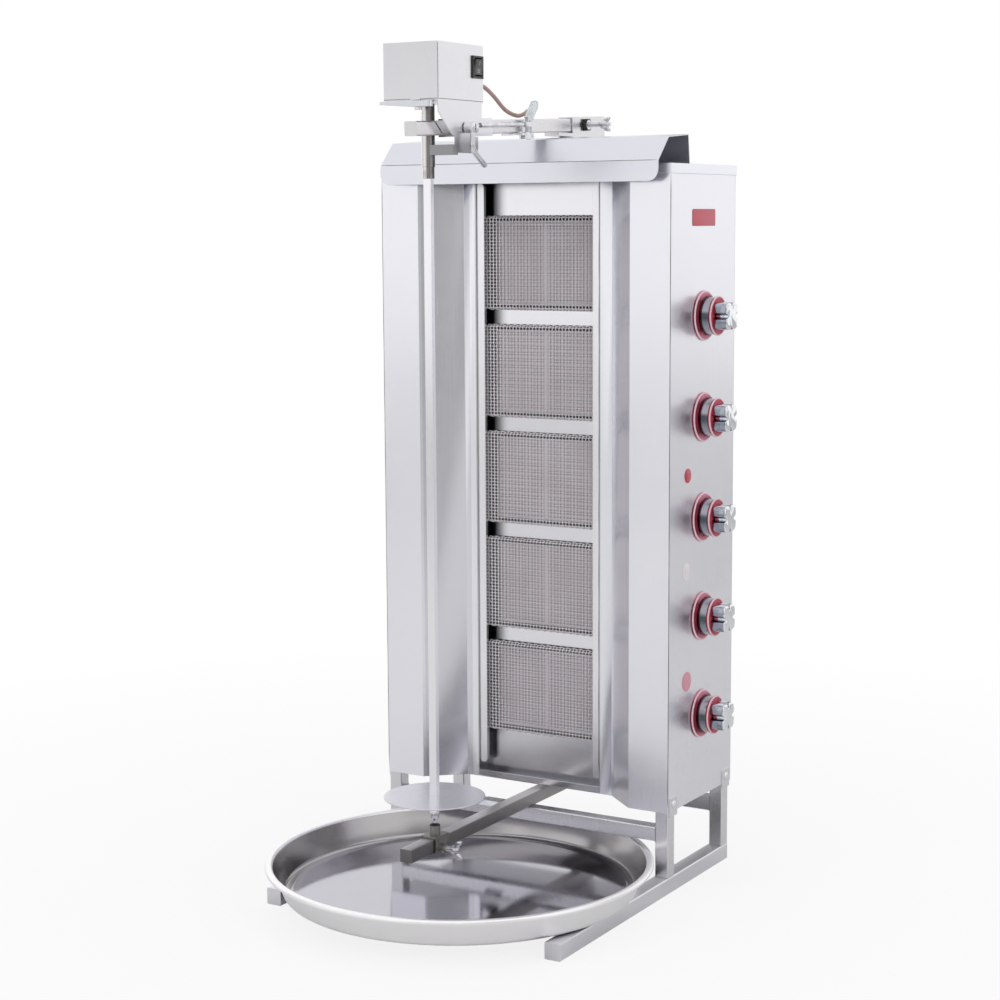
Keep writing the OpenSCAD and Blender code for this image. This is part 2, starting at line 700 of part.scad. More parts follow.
module head_carriage() {
    low = arm_w / 2 + slide_gap;
    plate_x = head_x - sheet;
    color("lightgray") difference() {
        union() {
            translate([-head_x, head_y0, head_z - plate_t]) cube([head_w, head_d, plate_t]);
            side_plate(plate_x);
            translate([plate_x, 0, 0]) rotate([90, 0, 90]) linear_extrude(sheet) {
                translate([spit_pos, head_z - tail_drop]) square([tail_l, 26]);
                translate([spit_pos, head_z - tail_drop + tail_r]) square([tail_l + tail_r, 15]);
                translate([spit_pos + tail_l, head_z - tail_drop + tail_r]) circle(tail_r);
            }
            translate([arm_offset + low + 0.6, 0, 0]) rotate([90, 0, 90])
                linear_extrude(plate_x - arm_offset - low)
                folded([[head_y0 + 14, head_z - 30], [spit_pos - 8, head_z - 48]], sheet);
            translate([shaft_r * 0.6, spit_pos - steady_w / 2, head_z - steady_drop])
                cube([head_x - shaft_r * 0.6, steady_w, steady_w]);
            on_arm() translate([-low - sleeve_wall, head_sleeve_s, -low - sleeve_wall])
                cube([2 * low + 2 * sleeve_wall, head_sleeve_l, 2 * low + 2 * sleeve_wall]);
            on_arm() rod_x([low, clamp_s, 0], plate_x - arm_offset - low + 0.5, 8);
            on_arm() translate([low, 48, -4]) cube([plate_x - arm_offset - low, 14, 14]);
            translate([arm_offset - 3, spit_pos + 20, arm_z + low]) cube([6, 50, head_z - arm_z - low - 1]);
            translate([lever_pivot_x - 8, lever_y - 8, head_z - plate_t]) cube([16, 20, plate_t]);
            rod_z([lever_pivot_x, lever_y, head_z - 12], 11, pivot_r);
            rod_z([lever_pivot_x, lever_y, head_z - 15], 3.2, 5.5);
        }
        on_arm() translate([-low, -80, -low]) cube([2 * low, 260, 2 * low]);
        rod_z([0, spit_pos, head_z - 80], 30, shaft_r + run_gap);
        rod_z([0, spit_pos, head_z - 10], 20, 8);
        on_arm() rod_x([0, clamp_s, 0], 60, 4 + run_gap);
        on_arm() rod_y([rod_off, 40, rod_up], 30, rod_r + run_gap);
    }
}

// Housing over the motor, open below, with holes for the switch and the cord
switch_y = 28;
switch_z = 31;
switch_mid_y = head_y1 - 16;
switch_mid_z = head_z + 47;
gland_z = head_z + 25;
module motor_housing() {
    wall = 1.2;
    color("silver") difference() {
        translate([-head_x, head_y0, head_z]) cube([head_w, head_d, head_h]);
        translate([-head_x + wall, head_y0 + wall, head_z - 1])
            cube([head_w - 2 * wall, head_d - 2 * wall, head_h - wall + 1]);
        translate([head_x - 5, switch_mid_y - switch_y / 2 + 2, switch_mid_z - switch_z / 2 + 2])
            cube([10, switch_y - 4, switch_z - 4]);
        rod_y([arm_offset, head_y1 - 5, gland_z], 10, 5);
    }
}

// Gearbox with the motor on it, seated on the carriage floor
stub_r = 6;
module gear_motor() {
    color("dimgray") difference() {
        union() {
            translate([-30, spit_pos - 34, head_z]) cube([60, 80, 30]);
            rod_z([0, spit_pos + 8, head_z + 29], head_h - 40, 25);
        }
        rod_z([0, spit_pos, head_z - 1], 24, stub_r + run_gap);
    }
}

// Rocker switch in the housing's side
rocker_y = 18;
rocker_z = 21;
module switch_frame() {
    color("black") difference() {
        union() {
            translate([head_x, switch_mid_y - switch_y / 2, switch_mid_z - switch_z / 2])
                cube([2.5, switch_y, switch_z]);
            translate([head_x - 14, switch_mid_y - switch_y / 2 + 2.2, switch_mid_z - switch_z / 2 + 2.2])
                cube([15, switch_y - 4.4, switch_z - 4.4]);
        }
        translate([head_x - 6, switch_mid_y - rocker_y / 2 - 0.5, switch_mid_z - rocker_z / 2 - 2])
            cube([10, rocker_y + 1, rocker_z + 4]);
    }
}
rocker_axis_x = head_x + 0.5;
module switch_rocker() {
    color("black") translate([rocker_axis_x, switch_mid_y + rocker_y / 2, switch_mid_z]) rotate([90, 0, 0])
        linear_extrude(rocker_y)
            polygon([[-3, -8], [0, -rocker_z / 2], [1.8, -rocker_z / 2], [2.6, 0], [5.2, rocker_z / 2],
                     [0, rocker_z / 2], [-3, 8]]);
    color("black") rod_y([rocker_axis_x, switch_mid_y - rocker_y / 2 - 0.3, switch_mid_z], rocker_y + 0.6, 2);
}

// Cranked handle whose screw clamps the head's sleeve to the arm
module clamp_handle() {
    start = arm_w / 2 + seat_gap;
    hub = head_x - arm_offset + 1;
    color("gainsboro") on_arm() translate([0, clamp_s, 0]) {
        rod_x([start, 0, 0], hub - start + 1, 4);
        rod_x([hub, 0, 0], 18, 8);
        translate([hub + 12, 0, 0]) rotate([170, 0, 0]) cylinder(h = 30, r = 4);
        translate([hub + 12, -sin(10) * 30, -cos(10) * 30]) sphere(4);
        translate([hub + 12, -sin(10) * 30, -cos(10) * 30]) rotate([234, 0, 0]) cylinder(h = 42, r = 4);
    }
}

// Lever under the housing, thinner to its end, turning on the carriage's pivot screw
module head_lever() {
    left = -56;
    right = 16;
    root_t = 8.2;
    tip_t = 4;
    color("white") translate([lever_pivot_x, lever_y, head_z - 11]) difference() {
        union() {
            translate([left, -lever_r, 0]) cube([right - left, 2 * lever_r, root_t]);
            rod_z([left, 0, 0], root_t, lever_r);
            rod_z([right, 0, 0], root_t, lever_r);
        }
        rod_z([0, 0, -1], root_t + 2, pivot_r + run_gap);
        translate([0, lever_r + 1, 0]) rotate([90, 0, 0]) linear_extrude(2 * lever_r + 2)
            polygon([[-lever_r - 3, -1], [-lever_r - 3, 0], [left - lever_r - 1, root_t - tip_t],
                     [left - lever_r - 1, -1]]);
    }
}

// Push-pull lever on the arm: base, lever with a clear grip, and its rod
toggle_s = 213;
toggle_down = 14.7;
toggle_reach = toggle_down + rod_up;
lever_t = 6;
module toggle_base() {
    color("gainsboro") on_arm() difference() {
        union() {
            translate([-6, toggle_s - 38, -arm_w / 2 - 3]) cube([rod_off + 6 + 12, 28.5, 3]);
            for (x = [rod_off - lever_t / 2 - 3.4, rod_off + lever_t / 2 + 0.4]) {
                translate([x, toggle_s - 16, -toggle_down - 4]) cube([3, 22, 9]);
            }
        }
        rod_x([rod_off - 20, toggle_s, -toggle_down], 40, 2.5 + run_gap);
    }
}
module toggle_lever() {
    color("azure") on_arm() translate([rod_off, toggle_s, -toggle_down]) {
        rod_x([-lever_t / 2 - 3.5, 0, 0], lever_t + 7, 2.5);
        difference() {
            translate([-lever_t / 2, 0, 0]) rotate([90, 0, 90]) linear_extrude(lever_t) {
                circle(5);
                translate([-5, 0]) square([10, toggle_reach + 8]);
                translate([0, toggle_reach + 7]) rotate(-44) translate([-7, -2]) square([14, 30]);
                translate([0, toggle_reach + 7]) rotate(-44) translate([0, 28]) circle(7);
            }
            translate([-lever_t, -2.2, toggle_reach - 2.2]) cube([2 * lever_t, 4.4, 7.8]);
        }
    }
}
module toggle_rod() {
    end_w = lever_t + 1;
    color("gainsboro") on_arm() translate([rod_off, 0, rod_up]) {
        rod_y([0, 50, 0], toggle_s - 12 - 50, rod_r);
        difference() {
            translate([-end_w / 2 - 1.5, toggle_s - 14, -3.5]) cube([end_w + 3, 17, 7]);
            translate([-end_w / 2, toggle_s - 10, -5]) cube([end_w, 20, 10]);
        }
        rod_x([-end_w / 2 - 0.5, toggle_s, 0], end_w + 1, 1.5);
    }
}

// Drive shaft: stub in the gearbox, thick shaft through the steady, collar with a socket for the bar
collar_h = 16;
shaft_low = head_z - shaft_drop;
module drive_shaft() {
    color("silver") difference() {
        union() {
            rod_z([0, spit_pos, shaft_low], head_z - 4 - shaft_low, shaft_r);
            rod_z([0, spit_pos, shaft_low - collar_h], collar_h, shaft_r - 1);
            rod_z([0, spit_pos, head_z - 5], 26, stub_r);
        }
        translate([-bar_w / 2, spit_pos - bar_t / 2, shaft_low - collar_h - 1]) cube([bar_w, bar_t, collar_h - 1]);
    }
}

// Spit bar with a blunt tip and a pin that turns in the foot's cup
bar_low = foot_top + 36;
pin_r = 3.5;
module spit_bar() {
    bar_top = shaft_low - 2;
    color("white") translate([0, spit_pos, 0]) {
        translate([-bar_w / 2, -bar_t / 2, bar_low]) cube([bar_w, bar_t, bar_top - bar_low]);
        translate([0, 0, bar_low - 13]) rotate_extrude()
            polygon([[0, 0], [pin_r, 0], [5.5, 4], [6.6, 8], [7, 13], [0, 13]]);
        rod_z([0, 0, foot_top + 7], bar_low - 13 - foot_top - 6, pin_r);
    }
}

// Meat disc with a hub, sliding on the bar
module spit_disc() {
    color("gainsboro") translate([0, spit_pos, disc_z]) difference() {
        union() {
            rod_z([0, 0, 0], disc_t, disc_r);
            rod_z([0, 0, -9], 9.5, 11.5);
        }
        translate([-bar_w / 2, -bar_t / 2, -12]) cube([bar_w, bar_t, 24]);
    }
}

// Foot of the spit: a sleeve on the lower arm with a cup on top
cup_r = 7.75;
foot_screw_z = foot_z + 4;
module foot_holder() {
    low = arm_w / 2 + slide_gap;
    wall = 2.6;
    foot_l = 35;
    color("lightslategray") translate([0, spit_pos, foot_z + arm_w / 2]) difference() {
        union() {
            translate([-low - wall, -foot_l / 2, -low - wall]) cube([2 * low + 2 * wall, foot_l, 2 * low + 2 * wall]);
            rod_z([0, 0, low + wall - 1], 14, cup_r);
            rod_x([low + 1, 0, foot_screw_z - foot_z - arm_w / 2], 7, 7);
        }
        translate([-low, -foot_l, -low]) cube([2 * low, 2 * foot_l, 2 * low]);
        rod_z([0, 0, low + 1.6], 30, pin_r + 0.7);
        rod_x([low - 1, 0, foot_screw_z - foot_z - arm_w / 2], 10, 4 + run_gap);
    }
}
module foot_wing_screw() {
    color("white") translate([arm_w / 2 + seat_gap, spit_pos, foot_screw_z]) wing_screw(31, 21, 15);
}

// Route of the mains cord: out of the gland, down onto the arm, over to its left side and back to the clip
cord_r = cord_d / 2;
clip_y = 150;
lead_points = [[20, -156, 1198], [20, -138, 1197], [20, -110, 1185], [20, -78, 1167], [20, -44, 1160],
    [19, -20, 1164], [13, 0, 1169], [5, 18, 1163], [2, 40, 1154], [2, 70, 1153], [2, 110, 1154],
    [2, 144, 1154]];
// From the clip down beside the bracket, across the cap, over its back edge and down to the floor
drop_points = [[2, 144.5, 1154], [2, 150, 1154], [2, 163, 1152.6], [0, 182, 1140], [-4, 194, 1115],
               [-14, 200, 1098],
    [-36, 198, 1092.6], [-70, 188, 1092.4], [-130, 178, 1092.4], [-200, 176, 1092.4], [-230, 182, 1092.6],
    [-245, 200, 1096], [-246, 220, 1098], [-246, 232, 1086], [-246, 236, 1060], [-246, 236, 900],
    [-246, 236, 650], [-246, 236, 400], [-246, 236, 150], [-246, 237, 60], [-243, 238, 20],
    [-230, 238, 4.4], [-214, 228, 3.4], [-202, 208, 3.3], [-200, 190, 3.3], [-200, 176.6, 3.3]];

// Points on a smooth curve through p, n to each stretch
function bent(p, n) = concat([for (i = [0 : len(p) - 2], k = [0 : n - 1])
    let (a = p[max(i - 1, 0)], b = p[i], c = p[i + 1], d = p[min(i + 2, len(p) - 1)], t = k / n,
         r = norm(c - b), m0 = (c - a) / max(norm(c - a), 1) * r, m1 = (d - b) / max(norm(d - b), 1) * r)
    b * (2 * t * t * t - 3 * t * t + 1) + m0 * (t * t * t - 2 * t * t + t)
    + c * (3 * t * t - 2 * t * t * t) + m1 * (t * t * t - t * t)], [p[len(p) - 1]]);

// A tube along a path, one ring of n points square to the path at each point
function dir(p, i) =
    let (d = i == 0 ? p[1] - p[0] : i == len(p) - 1 ? p[i] - p[i - 1] : p[i + 1] - p[i - 1]) d / norm(d);
function frame_at(p, i, u) =
    let (d = dir(p, i), w = u - (u * d) * d) w / norm(w);
function frames(p, i, u) = i >= len(p) ? [] :
    let (w = frame_at(p, i, u)) concat([w], frames(p, i + 1, w));
module tube(p, r, n, up) {
    fr = frames(p, 0, up);
    pts = [for (i = [0 : len(p) - 1], k = [0 : n - 1])
        let (d = dir(p, i), u = fr[i], v = cross(d, u), a = 360 * (k + 0.5) / n)
        p[i] + r / cos(180 / n) * (cos(a) * u + sin(a) * v)];
    last = (len(p) - 1) * n;
    polyhedron(pts, concat(
        [[for (k = [0 : n - 1]) k]],
        [for (i = [0 : len(p) - 2], k = [0 : n - 1]) let (a = i * n + k, b = i * n + (k + 1) % n)
            each [[a, a + n, b], [b, a + n, b + n]]],
        [[for (k = [n - 1 : -1 : 0]) last + k]]), convexity = 10);
}

// Gland on the housing's back wall, tapering onto the cord
module cord_gland() {
    color("dimgray") translate([arm_offset, head_y1, gland_z]) rotate([-90, 0, 0]) difference() {
        rotate_extrude() polygon([[0, -3], [4.9, -3], [4.9, 0], [7, 0], [7, 4], [5.5, 5],
                                  [cord_r + 0.8, 24], [0, 24]]);
        translate([0, 0, -4]) cylinder(h = 5, r = 2);
    }
}
module cord_lead() {
    color("rosybrown") tube(bent(lead_points, 2), cord_r, 8, [1, 0, 0]);
}
module cord_clip() {
    face_x = arm_offset - arm_w / 2 - slide_gap - sleeve_wall;
    color("white") translate([2, clip_y - 12, 1154]) difference() {
        union() {
            rod_y([0, 0, 0], 12, cord_r + 1.6);
            translate([0, 0, -2]) cube([face_x - 2, 12, 4]);
        }
        rod_y([0, -1, 0], 14, cord_r + 0.4);
    }
}
module cord_drop() {
    color("rosybrown") tube(bent(drop_points, 2), cord_r, 8, [1, 0, 0]);
}

// Coil of the spare length on the floor: wound in, one layer up, and out again
coil_mid = [-157, 165, cord_r + 0.5];
coil_r = 43;
coil_pitch = cord_d + 0.9;
coil_layer = cord_d + 0.8;
coil_half = coil_turns / 2;
function coil_at(t) =
    let (u = t < coil_half ? t : coil_turns - t,
         r = coil_r - coil_pitch * u,
         up = min(max((t - coil_half + 0.25) * 2, 0), 1),
         a = 180 + 360 * t)
    coil_mid + [r * cos(a), r * sin(a), coil_layer * up];
coil_steps = coil_turns * 24;
coil_path = concat([[coil_mid[0] - coil_r, 176, coil_mid[2]]],
    [for (k = [0 : coil_steps]) coil_at(k / 24)],
    [[coil_mid[0] - coil_r, coil_mid[1] - 12, coil_mid[2] + coil_layer]]);
coil_gap = min([for (i = [0 : 2 : len(coil_path) - 1], j = [i + 12 : 1 : len(coil_path) - 1])
    norm(coil_path[i] - coil_path[j])]) - cord_d;
echo(least_gap_between_turns = coil_gap);
module cord_coil() {
    color("rosybrown") tube(coil_path, cord_r, 6, [0, 0, 1]);
}

// Flat moulded plug with two pins, lying on the floor beside the coil
module plug() {
    y0 = coil_mid[1] - 12;
    z0 = coil_mid[2] + coil_layer;
    thick = 2 * z0;
    color("dimgray") translate([coil_mid[0] - coil_r, y0, z0]) {
        rotate([90, 0, 0]) rotate_extrude() polygon([[0, 0], [3.5, 0], [6, 30], [0, 30]]);
        translate([-17, -64, -z0]) linear_extrude(thick) round_rect(34, 35, 5);
        for (x = [-9.5, 9.5]) rotate([90, 0, 0]) translate([x, 0, 63]) cylinder(h = 20, r = 2.4);
    }
}

skid_left();
skid_right();
frame_posts();
cross_rails();
body_bolts();
side_panel_left();
side_panel_right();
back_panel();
bottom_plate();
top_cap();
wing_left();
wing_right();
burner_channel();
mesh_rails();
hood();
burner_housings();
burner_plaques();
mesh_trays();
gas_manifold();
gas_valves();
burner_pipes();
thermocouples();
dial_plates();
stem_1();
stem_2();
stem_3();
stem_4();
stem_5();
knob_1();
knob_2();
knob_3();
knob_4();
knob_5();
lower_arm();
pan_clip();
pan();
arm_bracket();
bracket_wing_bolt();
upper_arm();
head_carriage();
motor_housing();
gear_motor();
switch_frame();
switch_rocker();
clamp_handle();
head_lever();
toggle_base();
toggle_lever();
toggle_rod();
drive_shaft();
spit_bar();
spit_disc();
foot_holder();
foot_wing_screw();
cord_gland();
cord_lead();
cord_clip();
cord_drop();
cord_coil();
plug();
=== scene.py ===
import json
import math

import bmesh
import bpy
import numpy as np
from mathutils import Matrix, Vector

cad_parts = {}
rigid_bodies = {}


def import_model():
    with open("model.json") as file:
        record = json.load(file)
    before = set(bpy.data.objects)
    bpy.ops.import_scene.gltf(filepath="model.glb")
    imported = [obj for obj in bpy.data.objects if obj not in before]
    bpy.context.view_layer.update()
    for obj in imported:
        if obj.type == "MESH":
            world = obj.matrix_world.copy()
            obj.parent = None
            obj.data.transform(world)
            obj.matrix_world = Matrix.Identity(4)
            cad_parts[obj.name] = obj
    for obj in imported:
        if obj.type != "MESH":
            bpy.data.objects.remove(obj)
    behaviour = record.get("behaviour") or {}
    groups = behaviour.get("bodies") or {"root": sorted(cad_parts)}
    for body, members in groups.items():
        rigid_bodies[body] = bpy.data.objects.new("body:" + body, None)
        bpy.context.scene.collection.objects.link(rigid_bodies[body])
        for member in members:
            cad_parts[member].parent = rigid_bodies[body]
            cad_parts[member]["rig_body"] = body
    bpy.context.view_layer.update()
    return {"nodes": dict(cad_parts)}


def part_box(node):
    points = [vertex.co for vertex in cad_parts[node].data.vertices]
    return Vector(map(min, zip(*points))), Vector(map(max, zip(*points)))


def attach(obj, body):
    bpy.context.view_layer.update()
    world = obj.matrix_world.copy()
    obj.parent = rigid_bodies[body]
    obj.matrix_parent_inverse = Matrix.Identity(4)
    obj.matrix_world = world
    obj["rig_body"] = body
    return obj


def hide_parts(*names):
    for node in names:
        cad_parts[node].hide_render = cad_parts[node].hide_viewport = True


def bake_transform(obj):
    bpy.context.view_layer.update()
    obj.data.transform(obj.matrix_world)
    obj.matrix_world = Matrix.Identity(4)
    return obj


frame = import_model()
nodes = frame["nodes"]
scene = bpy.context.scene

# The camera stands to the right of the grill and a little above its middle,
# about 3.3 m away, with a long lens, and looks slightly down at it.
yaw, pitch, roll = (math.radians(a) for a in (30.80, 7.61, -0.32))
ahead = Vector((-math.sin(yaw) * math.cos(pitch), math.cos(yaw) * math.cos(pitch), -math.sin(pitch)))
level = Vector((math.cos(yaw), math.sin(yaw), 0))
upright = level.cross(ahead)
right = level * math.cos(roll) + upright * math.sin(roll)
above = upright * math.cos(roll) - level * math.sin(roll)
camera = bpy.data.objects.new("camera", bpy.data.cameras.new("camera"))
camera.data.sensor_width = 36
focal_px, picture_px = 2095.44, 1000
camera.data.lens = camera.data.sensor_width * focal_px / picture_px
camera.data.clip_end = 40
camera.matrix_world = Matrix.Translation((1.5961, -2.7427, 1.0083)) @ Matrix(
    (right, above, -ahead)).transposed().to_4x4()
scene.collection.objects.link(camera)
scene.camera = camera

# The mains cord: a 6 mm round flex in dusty pink rubber. It leaves the motor housing through a gland,
# lies on the upper arm, goes over to its hidden side and back to a clip on the sleeve. From there it
# hangs down behind the body, and its spare length lies wound up on the floor with the plug.
CORD = 0.006
lead_points = [(20, -156, 1198), (20, -138, 1197), (20, -110, 1185), (20, -78, 1167), (20, -44, 1160),
               (19, -20, 1164), (13, 0, 1169), (5, 18, 1163), (2, 40, 1154), (2, 70, 1153), (2, 110, 1154),
               (2, 144, 1154)]
drop_points = [(2, 144.5, 1154), (2, 150, 1154), (2, 163, 1152.6), (0, 182, 1140), (-4, 194, 1115),
               (-14, 200, 1098), (-36, 198, 1092.6), (-70, 188, 1092.4), (-130, 178, 1092.4),
               (-200, 176, 1092.4), (-230, 182, 1092.6),
               (-245, 200, 1096), (-246, 220, 1098), (-246, 232, 1086), (-246, 236, 1060), (-246, 236, 900),
               (-246, 236, 650), (-246, 236, 400), (-246, 236, 150), (-246, 237, 60), (-243, 238, 20),
               (-230, 238, 4.4), (-214, 228, 3.4), (-202, 208, 3.3), (-200, 190, 3.3), (-200, 176.6, 3.3)]


def grid_object(name, points, closed_u=False, closed_v=False, cap=False):
    """A surface from a rows x columns x 3 array: each cell of the array is one face. closed_u joins the last
    column to the first, closed_v the last row to the first, and cap closes the first and last row. A
    closed surface whose volume, the sum of its corners' triple products, comes out negative is turned."""
    points = np.asarray(points, float)
    rows, cols = points.shape[:2]
    index = np.arange(rows * cols).reshape(rows, cols)
    if closed_u:
        index = np.concatenate([index, index[:, :1]], 1)
    if closed_v:
        index = np.concatenate([index, index[:1]], 0)
    quads = np.stack([index[:-1, :-1], index[:-1, 1:], index[1:, 1:], index[1:, :-1]], -1).reshape(-1, 4)
    faces = quads.tolist()
    if cap:
        faces += [list(range(cols))[::-1], list(range((rows - 1) * cols, rows * cols))]
    if cap or (closed_u and closed_v):
        flat = points.reshape(-1, 3) - points.reshape(-1, 3).mean(0)
        volume = sum(float((np.cross(flat[quads[:, a]], flat[quads[:, b]]) * flat[quads[:, c]]).sum())
                     for a, b, c in ((0, 1, 2), (0, 2, 3)))
        if cap:
            for ring, sign in ((flat[:cols], -1), (flat[-cols:], 1)):
                volume += sign * float((np.cross(ring[0], ring[1:-1]) * ring[2:]).sum())
        if volume < 0:
            faces = [face[::-1] for face in faces]
    mesh = bpy.data.meshes.new(name)
    mesh.from_pydata(points.reshape(-1, 3).tolist(), [], faces)
    mesh.validate()
    mesh.update()
    obj = bpy.data.objects.new(name, mesh)
    scene.collection.objects.link(obj)
    return obj


def smooth(obj, angle=35):
    """Shades the piece smooth, except where two faces meet at more than the angle."""
    obj.data.shade_smooth()
    obj.data.set_sharp_from_angle(angle=math.radians(angle))
    return obj


def curve_through(points, steps):
    """Hermite curve through the points, in metres: at each point its direction is that of the chord
    between its neighbours, and its speed the length of the stretch. steps points go to each stretch."""
    p = np.asarray(points, float) / 1000
    before, after = np.vstack([p[:1], p[:-1]]), np.vstack([p[1:], p[-1:]])
    chord = after - before
    chord /= np.maximum(np.linalg.norm(chord, axis=1, keepdims=True), 1e-3)
    span = np.linalg.norm(p[1:] - p[:-1], axis=1)[:, None, None]
    t = (np.arange(steps) / steps)[None, :, None]
    a, b, m, n = p[:-1, None], p[1:, None], chord[:-1, None] * span, chord[1:, None] * span
    line = (a * (2 * t**3 - 3 * t**2 + 1) + m * (t**3 - 2 * t**2 + t)
            + b * (3 * t**2 - 2 * t**3) + n * (t**3 - t**2))
    return np.vstack([line.reshape(-1, 3), p[-1:]])


def tube_along(name, line, radius, sides=12, first=(1, 0, 0), cap=True):
    """Round tube along a line of points: at each point a ring of the radius stands square to the line,
    and each ring is turned as little as possible from the one before. radius may be one per point."""
    line = np.asarray(line, float)
    tangent = np.gradient(line, axis=0)
    tangent /= np.linalg.norm(tangent, axis=1, keepdims=True)
    across = np.zeros_like(line)
    w = np.asarray(first, float)
    for i, d in enumerate(tangent):
        w = w - d * (w @ d)
        w /= np.linalg.norm(w)
        across[i] = w
    other = np.cross(tangent, across)
    turn = np.linspace(0, 2 * np.pi, sides, endpoint=False)[None, :, None]
    size = np.broadcast_to(np.asarray(radius, float), (len(line),))[:, None, None]
    rings = line[:, None] + size * (np.cos(turn) * across[:, None] + np.sin(turn) * other[:, None])
    return grid_object(name, rings, closed_u=True, cap=cap)


class Sock:
    """A shader socket that adds Math nodes when it is used in an expression."""

    def __init__(self, kit, socket):
        self.kit, self.socket = kit, socket

    def _operator(operation, swapped=False):
        """A method that joins the socket and what it is used with, the other way round if swapped."""
        def act(self, *others):
            values = (*others, self) if swapped else (self, *others)
            return self.kit.node("ShaderNodeMath", {"operation": operation}, dict(enumerate(values)))
        return act

    __add__ = __radd__ = _operator("ADD")
    __mul__ = __rmul__ = _operator("MULTIPLY")
    __sub__, __rsub__ = _operator("SUBTRACT"), _operator("SUBTRACT", True)
    __truediv__, __rtruediv__ = _operator("DIVIDE"), _operator("DIVIDE", True)
    __gt__, __lt__ = _operator("GREATER_THAN"), _operator("LESS_THAN")
    fract, abs, sqrt = _operator("FRACT"), _operator("ABSOLUTE"), _operator("SQRT")

    def clamp(self):
        return self.kit.node("ShaderNodeClamp", {}, {0: self})


class Finish:
    """One material: its Principled shader, and a method that adds any other node."""

    def __init__(self, name, **constants):
        self.material = bpy.data.materials.new(name)
        self.material.use_nodes = True
        self.tree = self.material.node_tree
        self.shader = self.tree.nodes["Principled BSDF"]
        for key, value in constants.items():
            self.shader.inputs[key.replace("_", " ")].default_value = value

    def node(self, kind, settings=None, values=None, output=0):
        made = self.tree.nodes.new(kind)
        for key, value in (settings or {}).items():
            if key == "stops":
                ramp = made.color_ramp.elements
                while len(ramp) < len(value):
                    ramp.new(0.5)
                for element, (place, color) in zip(ramp, value):
                    element.position, element.color = place, color
            else:
                setattr(made, key, value)
        for key, value in (values or {}).items():
            socket = made.inputs[key]
            if isinstance(value, Sock):
                self.tree.links.new(value.socket, socket)
            else:
                socket.default_value = value
        return Sock(self, made.outputs[output])

    def place(self, scale=(1, 1, 1), centre=(0, 0, 0), turn=(0, 0, 0)):
        """Object coordinates in metres, moved to centre, turned and scaled."""
        where = self.node("ShaderNodeTexCoord", {}, {}, "Object")
        return self.node("ShaderNodeMapping", {"vector_type": "POINT"}, {
            "Vector": where, "Scale": scale, "Rotation": turn,
            "Location": tuple(-c * s for c, s in zip(centre, scale))})

    def parts(self, vector):
        """The x, y and z of a vector."""
        split = self.node("ShaderNodeSeparateXYZ", {}, {0: vector})
        return [Sock(self, split.socket.node.outputs[i]) for i in range(3)]

    def noise(self, vector, scale, detail=3, rough=0.5, distortion=0):
        return self.node("ShaderNodeTexNoise", {}, {
            "Vector": vector, "Scale": scale, "Detail": detail, "Roughness": rough, "Distortion": distortion})

    def ramp(self, value, *stops):
        """A colour ramp; each stop is a place and a grey or a colour."""
        full = [(p, (c, c, c, 1) if isinstance(c, (int, float)) else (*c, 1)) for p, c in stops]
        return self.node("ShaderNodeValToRGB", {"stops": full}, {0: value})

    def mix(self, factor, a, b):
        """Colour a where factor is 0, b where it is 1."""
        a, b = (c if isinstance(c, Sock) else (*c, 1) for c in (a, b))
        return self.node("ShaderNodeMix", {"data_type": "RGBA"}, {0: factor, 6: a, 7: b}, 2)

    def bump(self, height, distance, strength=1):
        self.give("Normal", self.node("ShaderNodeBump", {}, {
            "Height": height, "Distance": distance, "Strength": strength}))

    def give(self, name, value):
        self.tree.links.new(value.socket, self.shader.inputs[name])

    def on(self, *objects):
        """Puts the material on objects or CAD nodes, as their only one."""
        for obj in objects:
            obj = nodes[obj] if isinstance(obj, str) else obj
            obj.data.materials.clear()
            obj.data.materials.append(self.material)
        return self.material


def mottled(name, noise, *stops, rough=None, bump=None, **constants):
    """A finish whose colour follows one noise, (scale, detail, roughness), through the stops. So do its
    roughness, as (slope, start), and its bump, as (distance, strength), where they are given."""
    paint = Finish(name, **constants)
    tone = paint.noise(paint.place(), *noise)
    paint.give("Base Color", paint.ramp(tone, *stops))
    if rough:
        paint.give("Roughness", tone * rough[0] + rough[1])
    if bump:
        paint.bump(tone, *bump)
    return paint


# Rubber of the cord: matt, a little uneven in colour, with faint handling marks.
cord_rubber = mottled("cord_rubber", (60, 4), (0.3, (0.40, 0.25, 0.22)), (0.75, (0.52, 0.36, 0.33)),
                      rough=(0.25, 0.42))
cord_rubber.bump(cord_rubber.noise(cord_rubber.place(), 900, 2), 0.0002, 0.5)

lead_line = curve_through(lead_points, 3)
cord_lead = smooth(tube_along("mains_lead", lead_line, CORD / 2))
drop_line = curve_through(drop_points, 4)

# The coil: two layers, wound in and then out again one diameter higher.
turns, coil_r, coil_pitch, coil_layer = 5, 0.043, 0.0069, 0.0068
coil_centre = np.array([-0.157, 0.165, 0.0035])
t = np.linspace(0, turns, turns * 24 + 1)
u = np.where(t < turns / 2, t, turns - t)
climb = np.clip((t - turns / 2 + 0.25) * 2, 0, 1)
angle = np.pi + 2 * np.pi * t
coil_line = coil_centre + np.stack([(coil_r - coil_pitch * u) * np.cos(angle),
                                    (coil_r - coil_pitch * u) * np.sin(angle), coil_layer * climb], 1)
coil_end = coil_centre + np.array([-coil_r, -0.012, coil_layer])
stretch_to = np.linspace(drop_line[-1], coil_line[0], 3)[1:-1]
whole_line = np.vstack([drop_line, stretch_to, coil_line, coil_end[None]])
cord_drop = smooth(tube_along("mains_cord", whole_line, CORD / 2))
cord_rubber.on(cord_lead, cord_drop)
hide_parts("cord_lead")
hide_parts("cord_drop", "cord_coil")
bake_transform(cord_lead)
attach(cord_drop, "stand")


